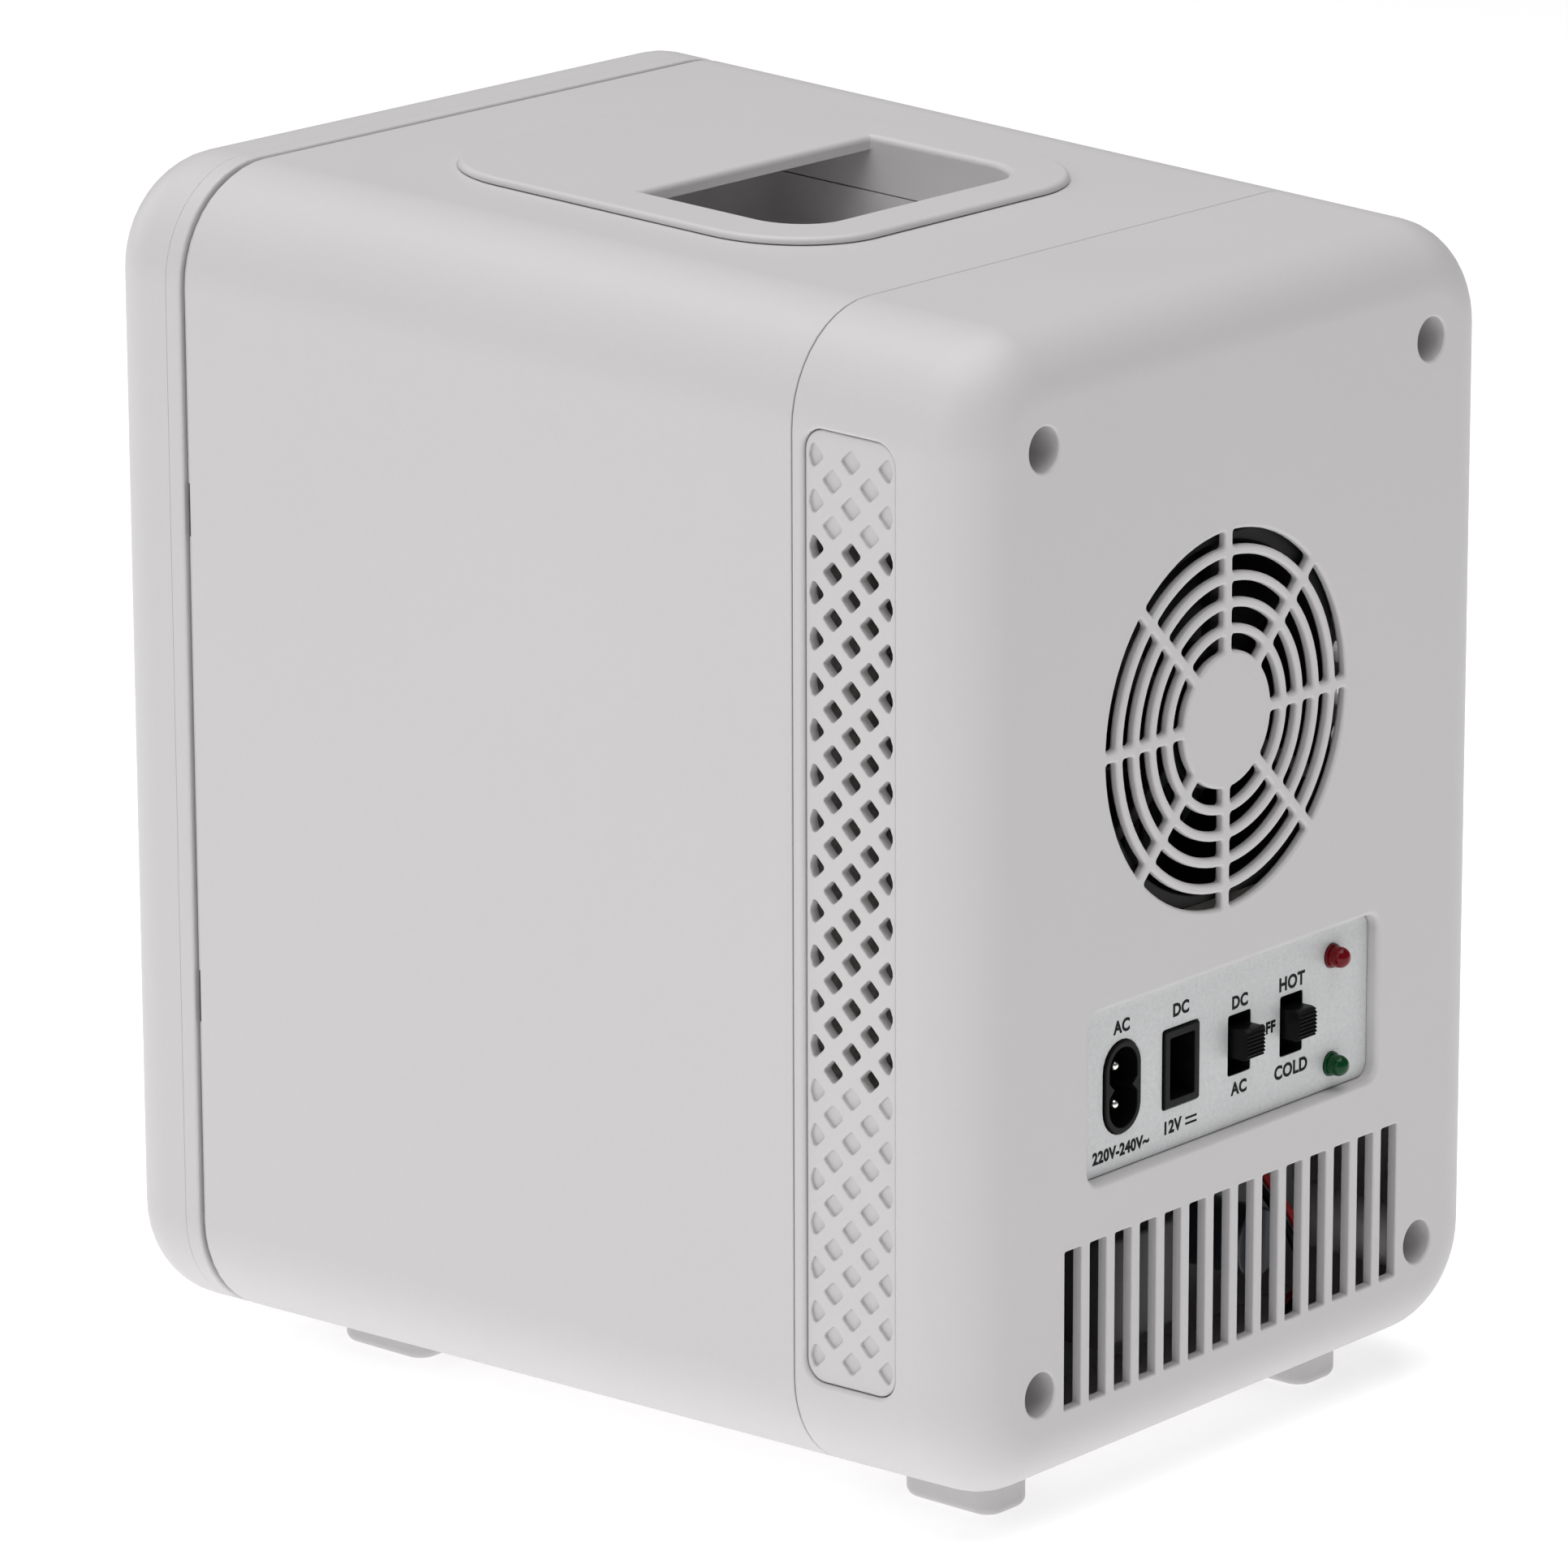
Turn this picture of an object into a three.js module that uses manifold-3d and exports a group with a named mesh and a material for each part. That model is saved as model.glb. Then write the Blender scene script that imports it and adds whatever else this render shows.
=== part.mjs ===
// A four-litre thermoelectric mini fridge: a carry-handled cabinet with a hinged door at the front (-Y) and
// the fan, the power board, the inlets and the switches in a housing at the back (+Y). Millimetres, +Z up,
// the origin on the ground under the middle of the whole fridge, switch knobs included.
import * as THREE from "three";
import { mergeVertices } from "three/addons/utils/BufferGeometryUtils.js";
import Module from "manifold-3d";

const wasm = await Module();
wasm.setup();

// ---------------------------------------------------------------- driving dimensions
const depth = 242; // the cabinet with its door, without the switch knobs
const knobProud = 1.8; // how far the switch knobs stand out behind the back plane
const backWidth = 181;
const frontWidth = 195.4;
const footHeight = 10;
const backHeight = 252.2; // the cabinet alone, without its feet, at the back plane
const frontRise = 10.6; // how much higher the top is at the door than at the back
const frontDrop = 1.7; // how much lower the bottom is at the door than at the back
const cornerRadius = 24;
const backRound = 14.6;
const doorRound = 15.6;
const wall = 2.4;
const gap = 0.3; // between two pieces that touch on the real fridge
const housingDepth = 46.5;
const doorThickness = 25.1;
const doorShellDepth = 21.3; // the outer shell's share of the door's thickness
const doorClearance = 1.5; // between the closed door and the cabinet, filled by the gasket

const cavityWidth = 141;
const cavityDepth = 140.4;
const cavityFloorZ = 22;
const cavityTopZ = 228;
const linerWall = 2;
const linerRound = 12;
const insulationBehind = 13.6; // thickness behind the liner

const coolingX = 4; // the fan, the sinks and the cooling element share this axis
const coolingZ = 168;
const fanSize = 80;
const fanThickness = 25;
const grilleRadius = 41.3;
const grilleHubRadius = 15;
const grilleOpening = 3.57;
const grilleRings = 5;
const grilleSpokes = 8;
const spokeWidth = 2.5;

const screwX = 66.3;
const screwHeights = [33.5, 238.3];
const screwHoleRadius = 5.2;

const controlWidth = 100.8;
const controlHeight = 37.6;
const controlZ = 94.3;
const controlDepth = 4;
const socketZ = 93.7;

const slotCount = 14;
const slotPitch = 8.52;
const slotWidth = 5.7;
const slotHeight = 35.3;
const slotZ = 45.4;

const ventWidth = 24.2;
const ventHeight = 205.8;
const ventFromSeam = 14.9; // from the seam to the vent's middle
const ventZ = 136.9;
const ventPitch = 9.71; // between rows of the same kind
const ventRows = 41; // rows of three and rows of two, in turn
const ventBlindAbove = 4; // rows that don't go through, at the top
const ventBlindBelow = 13; // and at the bottom

const handleWidth = 106.4;
const handleLength = 112;
const handleThickness = 1.8;
const handleRound = 25;
const handleForward = 1.8; // how far the handle sits in front of the top's middle
const gripOpeningWidth = 77.4;
const gripOpeningFront = 2; // in front of the handle's middle
const gripOpeningBack = 43.8; // behind it
const pocketFront = 40.2; // how far the finger pocket runs forward under the grip
const skirtDepth = 10.7;
const cupDepth = 15;

const hingeAxisX = -92.4;
const hingeSetIn = 5.1; // from the door's back face to the hinge axis
const hingeHeights = [52, 222];
const pinRadius = 1.3;

const footWidth = 15;
const footLength = 26;
const rearFoot = { x: 54.5, fromBack: 30 };
const frontFoot = { x: 58, fromFront: 50.3 };

// ---------------------------------------------------------------- worked out from the above
const backY = (depth - knobProud) / 2;
const frontY = backY - depth;
const seamY = backY - housingDepth;
const doorBackY = frontY + doorThickness;
const doorSplitY = frontY + doorShellDepth;
const bodyFrontY = doorBackY + doorClearance;
const cavityBackY = bodyFrontY + cavityDepth;
const backInnerY = backY - wall;
const backBottomZ = footHeight;
const backTopZ = footHeight + backHeight;
const ventY = seamY + ventFromSeam;
const handleY = (seamY + bodyFrontY) / 2 - handleForward;
const gripOpeningFrontY = handleY - gripOpeningFront;
const gripOpeningBackY = handleY + gripOpeningBack;
const hingeAxisY = doorBackY - hingeSetIn;

const towardsFront = (y) => (backY - y) / depth;
const halfWidthAt = (y) => (backWidth + (frontWidth - backWidth) * towardsFront(y)) / 2;
const topAt = (y) => backTopZ + frontRise * towardsFront(y);
const bottomAt = (y) => backBottomZ - frontDrop * towardsFront(y);

// ---------------------------------------------------------------- shapes and solids
function roundedRect(width, height, radius, cx = 0, cy = 0) {
  const shape = new THREE.Shape();
  const right = cx + width / 2;
  const left = cx - width / 2;
  const high = cy + height / 2;
  const low = cy - height / 2;
  shape.moveTo(left + radius, low);
  shape.lineTo(right - radius, low);
  shape.absarc(right - radius, low + radius, radius, -Math.PI / 2, 0);
  shape.lineTo(right, high - radius);
  shape.absarc(right - radius, high - radius, radius, 0, Math.PI / 2);
  shape.lineTo(left + radius, high);
  shape.absarc(left + radius, high - radius, radius, Math.PI / 2, Math.PI);
  shape.lineTo(left, low + radius);
  shape.absarc(left + radius, low + radius, radius, Math.PI, Math.PI * 1.5);
  return shape;
}

// Each quarter-turn of an outline is drawn with 2 * segments straight pieces.
function extruded(shape, length, curveSegments, bevel = 0) {
  return new THREE.ExtrudeGeometry(shape, {
    depth: length - 2 * bevel,
    curveSegments,
    bevelEnabled: bevel > 0,
    bevelThickness: bevel,
    bevelSize: bevel,
    bevelOffset: -bevel,
    bevelSegments: bevel > 5 ? 4 : 2,
  }).translate(0, 0, bevel);
}

// An outline in X and Z, from one Y to a larger one.
const alongY = (shape, y0, y1, segments = 2, bevel = 0) =>
  extruded(shape, y1 - y0, segments, bevel).rotateX(Math.PI / 2).translate(0, y1, 0);

// An outline in X and Y, from one Z to a higher one.
const alongZ = (shape, z0, z1, segments = 2, bevel = 0) =>
  extruded(shape, z1 - z0, segments, bevel).translate(0, 0, z0);

// An outline in Y and Z, from one X to a larger one.
function alongX(shape, x0, x1, segments = 2) {
  const turn = new THREE.Matrix4().makeBasis(
    new THREE.Vector3(0, 1, 0),
    new THREE.Vector3(0, 0, 1),
    new THREE.Vector3(1, 0, 0),
  );
  return extruded(shape, x1 - x0, segments).applyMatrix4(turn).translate(x0, 0, 0);
}

const box = (x0, x1, y0, y1, z0, z1) =>
  new THREE.BoxGeometry(x1 - x0, y1 - y0, z1 - z0).translate((x0 + x1) / 2, (y0 + y1) / 2, (z0 + z1) / 2);

const rodY = (x, z, radius, y0, y1, segments = 16) =>
  new THREE.CylinderGeometry(radius, radius, y1 - y0, segments).translate(x, (y0 + y1) / 2, z);

const rodZ = (x, y, radius, z0, z1, segments = 16) =>
  new THREE.CylinderGeometry(radius, radius, z1 - z0, segments)
    .rotateX(Math.PI / 2)
    .translate(x, y, (z0 + z1) / 2);

// Spreads a cabinet-shaped piece towards the door, as the moulded shells widen and rise.
function widened(geometry) {
  const position = geometry.getAttribute("position");
  for (let i = 0; i < position.count; i++) {
    const y = position.getY(i);
    const rise = (position.getZ(i) - backBottomZ) / backHeight;
    const height = topAt(y) - bottomAt(y);
    position.setX(i, (position.getX(i) * halfWidthAt(y) * 2) / backWidth);
    position.setZ(i, bottomAt(y) + rise * height);
  }
  return geometry;
}

function solid(geometry) {
  const bare = new THREE.BufferGeometry().setAttribute("position", geometry.getAttribute("position"));
  if (geometry.index) bare.setIndex(geometry.index);
  const merged = mergeVertices(bare, 1e-4);
  return new wasm.Manifold(
    new wasm.Mesh({
      numProp: 3,
      vertProperties: new Float32Array(merged.getAttribute("position").array),
      triVerts: new Uint32Array(merged.index.array),
    }),
  );
}

const join = (...geometries) => geometries.map(asSolid).reduce((a, b) => a.add(b));
const cut = (base, ...cutters) => cutters.map(asSolid).reduce((a, b) => a.subtract(b), asSolid(base));
const common = (a, b) => asSolid(a).intersect(asSolid(b));

function asSolid(piece) {
  return piece.isBufferGeometry ? solid(piece) : piece;
}

function asGeometry(piece) {
  if (piece.isBufferGeometry) return piece;
  const made = piece.getMesh();
  const positions = new Float32Array(made.numVert * 3);
  for (let i = 0; i < made.numVert; i++) {
    positions.set(made.vertProperties.subarray(i * made.numProp, i * made.numProp + 3), i * 3);
  }
  const geometry = new THREE.BufferGeometry();
  geometry.setAttribute("position", new THREE.BufferAttribute(positions, 3));
  geometry.setIndex(new THREE.BufferAttribute(new Uint32Array(made.triVerts), 1));
  geometry.computeVertexNormals();
  return geometry;
}

const widenedSolid = (piece) => widened(asGeometry(piece));

// ---------------------------------------------------------------- materials
const plastic = (color, roughness) => new THREE.MeshStandardMaterial({ color, roughness, metalness: 0 });
const metal = (color, roughness) => new THREE.MeshStandardMaterial({ color, roughness, metalness: 1 });
const casing = () => plastic("#d9d9d8", 0.42);
const innerWhite = () => plastic("#e9eaea", 0.3);
const black = () => plastic("#1a1a1b", 0.45);
const foam = () => plastic("#f2f1ec", 0.9);
const aluminium = () => metal("#c6c8ca", 0.35);
const steel = () => metal("#b4b6b8", 0.3);
const brightPin = () => metal("#d8d6cf", 0.2);

const fridge = new THREE.Group();

function add(name, piece, material) {
  const mesh = new THREE.Mesh(asGeometry(piece), material);
  mesh.name = name;
  fridge.add(mesh);
}

// ---------------------------------------------------------------- cabinet outlines
// The cabinet's outline at the back plane, drawn in by an inset all round.
const cabinetOutline = (inset) =>
  roundedRect(
    backWidth - 2 * inset,
    backHeight - 2 * inset,
    Math.max(cornerRadius - inset, 1),
    0,
    backBottomZ + backHeight / 2,
  );

const cabinetSegments = 3;
const cabinetBlock = (inset, y0, y1) => widened(alongY(cabinetOutline(inset), y0, y1, cabinetSegments));

const linerHeight = cavityTopZ - cavityFloorZ;
const linerMiddleZ = (cavityTopZ + cavityFloorZ) / 2;
const linerOutline = (outset) =>
  roundedRect(cavityWidth + 2 * outset, linerHeight + 2 * outset, linerRound + outset, 0, linerMiddleZ);

// ---------------------------------------------------------------- carry handle
// The handle's own frame lies on the sloping top, its Z = 0 on the top face.
const topSlope = Math.atan2(frontRise, depth);
const onTop = (geometry) =>
  geometry.translate(0, -handleY, 0).rotateX(-topSlope).translate(0, handleY, topAt(handleY));

const openingLength = gripOpeningBackY - gripOpeningFrontY;
const openingMiddleY = (gripOpeningBackY + gripOpeningFrontY) / 2;
const skirtFrontY = handleY - pocketFront;
const skirtWall = 2.2;
const skirtLength = gripOpeningBackY - skirtFrontY;
const skirtMiddleY = (gripOpeningBackY + skirtFrontY) / 2;
const openingRound = 12;

const skirtOutline = (outset) =>
  roundedRect(
    gripOpeningWidth + 2 * outset,
    skirtLength + 2 * outset,
    openingRound + outset,
    0,
    skirtMiddleY,
  );

// The hole that the finger pocket needs in the shell and in the insulation.
const handlePocket = () =>
  onTop(alongZ(skirtOutline(skirtWall + gap), -(skirtDepth + cupDepth + skirtWall + gap), 5));

function handlePlate() {
  const plate = alongZ(
    roundedRect(handleWidth, handleLength, handleRound, 0, handleY),
    gap,
    handleThickness,
    4,
  );
  const skirt = cut(
    alongZ(skirtOutline(skirtWall), -skirtDepth, handleThickness - 0.2),
    alongZ(skirtOutline(0), -skirtDepth - 1, handleThickness + 1),
  );
  const opening = alongZ(
    roundedRect(gripOpeningWidth, openingLength + 20, openingRound, 0, openingMiddleY - 10),
    -skirtDepth - 1,
    handleThickness + 1,
  );
  const behindGrip = box(-60, 60, gripOpeningFrontY, seamY, -20, 20);
  const gripUnderside = common(
    alongZ(skirtOutline(1), -1.4, handleThickness - 0.1),
    box(-60, 60, skirtFrontY - 5, gripOpeningFrontY, -5, 5),
  );
  const body = join(cut(plate, common(opening, behindGrip)), skirt, gripUnderside);
  return onTop(asGeometry(body));
}

function handleCup() {
  const outer = alongZ(skirtOutline(skirtWall), -(skirtDepth + cupDepth + skirtWall), -skirtDepth - gap);
  const hollow = alongZ(skirtOutline(0), -(skirtDepth + cupDepth), -skirtDepth + 1);
  return onTop(asGeometry(cut(outer, hollow)));
}

add("handle_plate", handlePlate(), casing());
add("handle_cup", handleCup(), casing());

// ---------------------------------------------------------------- door hinges
const lugHeight = 13;
const lugRadius = 3.3;
const bracketPlate = { x0: -95.2, x1: -82, y0: bodyFrontY - 0.2, y1: bodyFrontY + 3.2 };

const bracketBlock = (z, grow) =>
  box(
    bracketPlate.x0 - grow,
    bracketPlate.x1 + grow,
    bracketPlate.y0 - grow,
    bracketPlate.y1 + grow,
    z - lugHeight / 2 - grow,
    z + lugHeight / 2 + grow,
  );

function hingeBracket(z) {
  const barrel = rodZ(hingeAxisX, hingeAxisY, lugRadius, z - lugHeight / 2, z + lugHeight / 2);
  const arm = box(
    hingeAxisX - lugRadius + 0.5,
    hingeAxisX + lugRadius,
    hingeAxisY,
    bodyFrontY,
    z - lugHeight / 2,
    z + lugHeight / 2,
  );
  const bore = rodZ(hingeAxisX, hingeAxisY, pinRadius + 0.15, z - lugHeight, z + lugHeight);
  return cut(join(barrel, arm, bracketBlock(z, 0)), bore);
}

const pinReach = 6; // how far a pin goes into the door beyond each end of its lug
const hingeNotch = (z) =>
  join(
    rodZ(hingeAxisX, hingeAxisY, lugRadius + 0.6, z - lugHeight / 2 - gap, z + lugHeight / 2 + gap),
    box(
      -110,
      hingeAxisX + lugRadius + 0.6,
      hingeAxisY - lugRadius - 1.4,
      doorBackY + 1,
      z - lugHeight / 2 - gap,
      z + lugHeight / 2 + gap,
    ),
  );
const pinBore = (z) =>
  rodZ(
    hingeAxisX,
    hingeAxisY,
    pinRadius + gap,
    z - lugHeight / 2 - pinReach - gap,
    z + lugHeight / 2 + pinReach + gap,
  );

["lower", "upper"].forEach((where, i) => {
  const z = hingeHeights[i];
  add("hinge_bracket_" + where, hingeBracket(z), steel());
  const half = lugHeight / 2 + pinReach;
  add("hinge_pin_" + where, rodZ(hingeAxisX, hingeAxisY, pinRadius, z - half, z + half, 16), steel());
});

// ---------------------------------------------------------------- cabinet shell, liner and insulation
const bossRadius = 5;
const bossClearance = 1; // between the insulation and the screw bosses behind it
const insulationBackY = cavityBackY + linerWall + insulationBehind;
const bossFrontY = insulationBackY + bossClearance;

function bodyShell() {
  const tube = cut(
    cabinetBlock(0, bodyFrontY, seamY - gap / 2),
    cabinetBlock(wall, bodyFrontY - 1, seamY + 1),
  );
  const bosses = [];
  for (const side of [-1, 1]) {
    for (const z of screwHeights) {
      const reach = [side * screwX, side * (halfWidthAt(seamY) - 1)].sort((a, b) => a - b);
      bosses.push(rodY(side * screwX, z, bossRadius, bossFrontY, seamY - gap, 12));
      bosses.push(box(reach[0], reach[1], bossFrontY, seamY - gap, z - 1.2, z + 1.2));
    }
  }
  const holes = [];
  for (const side of [-1, 1]) {
    for (const z of screwHeights) {
      holes.push(rodY(side * screwX, z, 1.9, bossFrontY - 1, seamY + 1, 10));
    }
  }
  const brackets = hingeHeights.map((z) => bracketBlock(z, gap));
  return cut(join(tube, ...bosses), handlePocket(), ...brackets, ...holes);
}

const railDepth = 3.6;
const railZ = 124;
const shelfThickness = 3;
const shelfLength = 96;
const shelfMiddleY = bodyFrontY + 56;

const coldBlockSize = 40;
const squareHole = (half, y0, y1) =>
  box(coolingX - half, coolingX + half, y0, y1, coolingZ - half, coolingZ + half);

function liner() {
  const tub = alongY(linerOutline(linerWall), bodyFrontY + 1, cavityBackY + linerWall, 3);
  const flange = cabinetBlock(wall + gap, bodyFrontY + 0.4, bodyFrontY + 0.4 + linerWall);
  const hollow = alongY(linerOutline(0), bodyFrontY - 5, cavityBackY, 3);
  const half = cavityWidth / 2;
  const rails = [-1, 1].map((side) =>
    box(
      Math.min(side * half, side * (half - railDepth)) - 0.5,
      Math.max(side * half, side * (half - railDepth)) + 0.5,
      bodyFrontY + 10,
      bodyFrontY + 104,
      railZ - 2,
      railZ,
    ),
  );
  const coldHole = squareHole(coldBlockSize / 2 + 0.5, cavityBackY - 1, seamY);
  return cut(
    join(cut(join(tub, flange), hollow), ...rails),
    coldHole,
    ...hingeHeights.map((z) => bracketBlock(z, gap)),
    ...catchHeights.map((z) => strikePocket(z)),
  );
}

// Two magnetic catches on the opening side: a dark magnet in the door meets a steel strike in the bezel.
const catchHeights = [86, 197];
const catchLength = 12;
const catchX0 = 87.2;
const catchX1 = 93.4;
const strikePocket = (z) =>
  box(
    catchX0 - gap,
    catchX1 + gap,
    bodyFrontY - 1,
    bodyFrontY + 1.7,
    z - catchLength / 2 - gap,
    z + catchLength / 2 + gap,
  );

function insulation() {
  const block = cabinetBlock(wall + gap, bodyFrontY + 0.4 + linerWall + gap, insulationBackY);
  const room = alongY(linerOutline(linerWall + gap), bodyFrontY - 5, cavityBackY + linerWall + gap, 3);
  const blockHole = squareHole(coldBlockSize / 2 + 0.6, cavityBackY, insulationBackY + 1);
  return cut(block, room, blockHole, handlePocket(), ...hingeHeights.map((z) => bracketBlock(z, gap)));
}

add("body_shell", bodyShell(), casing());
add("inner_liner", liner(), innerWhite());
add("cabinet_insulation", insulation(), foam());

["lower", "upper"].forEach((where, i) => {
  const z = catchHeights[i];
  const z0 = z - catchLength / 2;
  const z1 = z + catchLength / 2;
  add("catch_strike_" + where, box(catchX0, catchX1, bodyFrontY + 0.2, bodyFrontY + 1.4, z0, z1), steel());
  add("catch_magnet_" + where, box(catchX0, catchX1, doorBackY - 2.2, doorBackY + 1.1, z0, z1), black());
});

// ---------------------------------------------------------------- shelf and door rack
function shelf() {
  const plate = alongZ(
    roundedRect(cavityWidth - 1.2, shelfLength, 5, 0, shelfMiddleY),
    railZ + gap,
    railZ + gap + shelfThickness,
  );
  const slots = [];
  for (let i = -5; i <= 5; i++) {
    slots.push(box(i * 11 - 3, i * 11 + 3, shelfMiddleY - 37, shelfMiddleY + 37, railZ - 1, railZ + 10));
  }
  return cut(plate, ...slots);
}
add("shelf", shelf(), innerWhite());

// ---------------------------------------------------------------- door
const doorPanHalfX = 76;
const doorPanZ0 = 34;
const doorPanZ1 = 236;
const doorPanDepth = 9;
const doorMiddleZ = (doorPanZ0 + doorPanZ1) / 2;
const doorPan = (outset) =>
  roundedRect(doorPanHalfX * 2 + 2 * outset, doorPanZ1 - doorPanZ0 + 2 * outset, 10 + outset, 0, doorMiddleZ);

const bossBeyondLug = 9; // how far the door's hinge bosses reach above and below the lugs

function doorOuterShell() {
  const rounded = widened(
    alongY(cabinetOutline(0), frontY, frontY + 60, cabinetSegments, doorRound),
  );
  const keep = box(-150, 150, frontY - 1, doorSplitY - gap / 2, -20, 300);
  const hollow = common(
    widened(alongY(cabinetOutline(wall), frontY + wall, frontY + 60, cabinetSegments, doorRound - wall)),
    box(-150, 150, frontY - 1, doorSplitY + 5, -20, 300),
  );
  const shell = cut(common(rounded, keep), hollow);
  const bosses = hingeHeights.map((z) =>
    common(
      rounded,
      box(
        -110,
        hingeAxisX + 6,
        hingeAxisY - 6,
        doorSplitY - gap / 2,
        z - lugHeight / 2 - bossBeyondLug,
        z + lugHeight / 2 + bossBeyondLug,
      ),
    ),
  );
  return cut(join(shell, ...bosses), ...hingeHeights.map(hingeNotch), ...hingeHeights.map(pinBore));
}

const gasketWidth = 7;
const gasketMiddleX = 80.6;
const gasketZ0 = 14.6;
const gasketZ1 = 235.6;
const gasketRing = (width, y0, y1) => {
  const middle = (gasketZ0 + gasketZ1) / 2;
  const height = gasketZ1 - gasketZ0;
  const outer = roundedRect(gasketMiddleX * 2 + width, height + width, 17 + width / 2, 0, middle);
  const inner = roundedRect(gasketMiddleX * 2 - width, height - width, 17 - width / 2, 0, middle);
  return cut(alongY(outer, y0, y1), alongY(inner, y0 - 1, y1 + 1));
};

function doorInnerPanel() {
  const plate = cabinetBlock(0, doorSplitY + gap / 2, doorBackY);
  const panWall = alongY(doorPan(linerWall), doorSplitY - doorPanDepth, doorBackY - 1);
  const pan = alongY(doorPan(0), doorSplitY - doorPanDepth + linerWall, doorBackY + 1);
  const sideX = -halfWidthAt(doorBackY);
  const chamfer = box(-4.2, 4.2, -4.2, 4.2, 20, 262)
    .rotateZ(Math.PI / 4)
    .translate(sideX - 2.9, doorBackY + 2.9, 0);
  const magnets = catchHeights.map((z) =>
    box(
      catchX0 - gap,
      catchX1 + gap,
      doorBackY - 2.5,
      doorBackY + 1,
      z - catchLength / 2 - gap,
      z + catchLength / 2 + gap,
    ),
  );
  return cut(
    join(plate, panWall),
    pan,
    chamfer,
    gasketRing(3.2, doorBackY - 1.7, doorBackY + 1),
    ...magnets,
    ...hingeHeights.map(hingeNotch),
    ...hingeHeights.map(pinBore),
  );
}

function doorInsulation() {
  const clearOfBosses = wall + 9;
  const clearOfRound = 1.4;
  return cabinetBlock(clearOfBosses, frontY + wall + clearOfRound, doorSplitY - doorPanDepth - gap);
}

const doorGasket = () =>
  join(
    gasketRing(gasketWidth, doorBackY + 0.2, doorBackY + 1.2),
    gasketRing(2.4, doorBackY - 1.4, doorBackY + 0.6),
  );

const rackZ = 56;
const rackHeight = 34;
const rackHalfX = 60;
const rackFrontY = doorBackY + 18;

function doorRack() {
  const backPlateY = doorSplitY - doorPanDepth + linerWall + gap;
  const outer = box(-rackHalfX, rackHalfX, backPlateY, rackFrontY, rackZ, rackZ + rackHeight);
  const hollow = box(
    -rackHalfX + 2,
    rackHalfX - 2,
    backPlateY + 2,
    rackFrontY - 2,
    rackZ + 2,
    rackZ + rackHeight + 1,
  );
  return cut(outer, hollow);
}

add("door_outer_shell", doorOuterShell(), casing());
add("door_inner_panel", doorInnerPanel(), casing());
add("door_insulation", doorInsulation(), foam());
add("door_gasket", doorGasket(), plastic("#c9cbcc", 0.6));
add("door_rack", doorRack(), innerWhite());

// ---------------------------------------------------------------- back housing
const slotX = (i) => (i - (slotCount - 1) / 2) * slotPitch;
const tubeFromSeam = 3.5; // from the seam to the front of the screw tubes
const tubeFrontY = seamY + tubeFromSeam;
const tubeFloor = 2.4;
const standoffs = [
  [-53, 23.5],
  [53, 23.5],
  [-53, 67.6],
  [53, 67.6],
];
const boardBackY = backY - 27;
const boardThickness = 1.6;

const controlBackingDepth = 2; // wall behind the control recess

const sockets = {
  ac: { x: 35.8, width: 12.7, height: 21, round: 6.3 },
  dc: { x: 15.6, width: 12.6, height: 17.9, round: 0.8 },
  powerSwitch: { x: -4.9, width: 8, height: 13.6, round: 0.6 },
  modeSwitch: { x: -23.2, width: 8, height: 13.6, round: 0.6 },
};
const leds = { led_red: 105.8, led_green: 81.2 };
const ledX = -37.5;
const ledRadius = 2.5;
const ledCollar = 2.2; // straight part of a lamp in front of the plate

const window = ({ x, width, height, round }, grow) =>
  alongY(
    roundedRect(width + 2 * grow, height + 2 * grow, round + grow, x, socketZ),
    backY - 12,
    backY + 1,
  );

function fanGrilleCutter() {
  const bar = (grilleRadius - grilleHubRadius - grilleRings * grilleOpening) / (grilleRings - 1);
  const rings = [];
  for (let i = 0; i < grilleRings; i++) {
    const inner = grilleHubRadius + i * (grilleOpening + bar);
    const segments = 20 + 4 * i;
    const y0 = backInnerY - 1;
    rings.push(
      cut(
        rodY(coolingX, coolingZ, inner + grilleOpening, y0, backY + 1, segments),
        rodY(coolingX, coolingZ, inner, y0 - 1, backY + 2, segments),
      ),
    );
  }
  const spokes = [];
  for (let i = 0; i < grilleSpokes / 2; i++) {
    spokes.push(
      box(-60, 60, backInnerY - 3, backY + 3, -spokeWidth / 2, spokeWidth / 2)
        .rotateY((i * Math.PI) / (grilleSpokes / 2))
        .translate(coolingX, 0, coolingZ),
    );
  }
  return cut(join(...rings), ...spokes);
}

function ventWindow(side) {
  const outline = roundedRect(ventWidth, ventHeight, 5, ventY, ventZ);
  const x0 = side > 0 ? backWidth / 2 - wall - 1 : -backWidth / 2 - 1;
  return alongX(outline, x0, x0 + wall + 2, 4);
}

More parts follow.
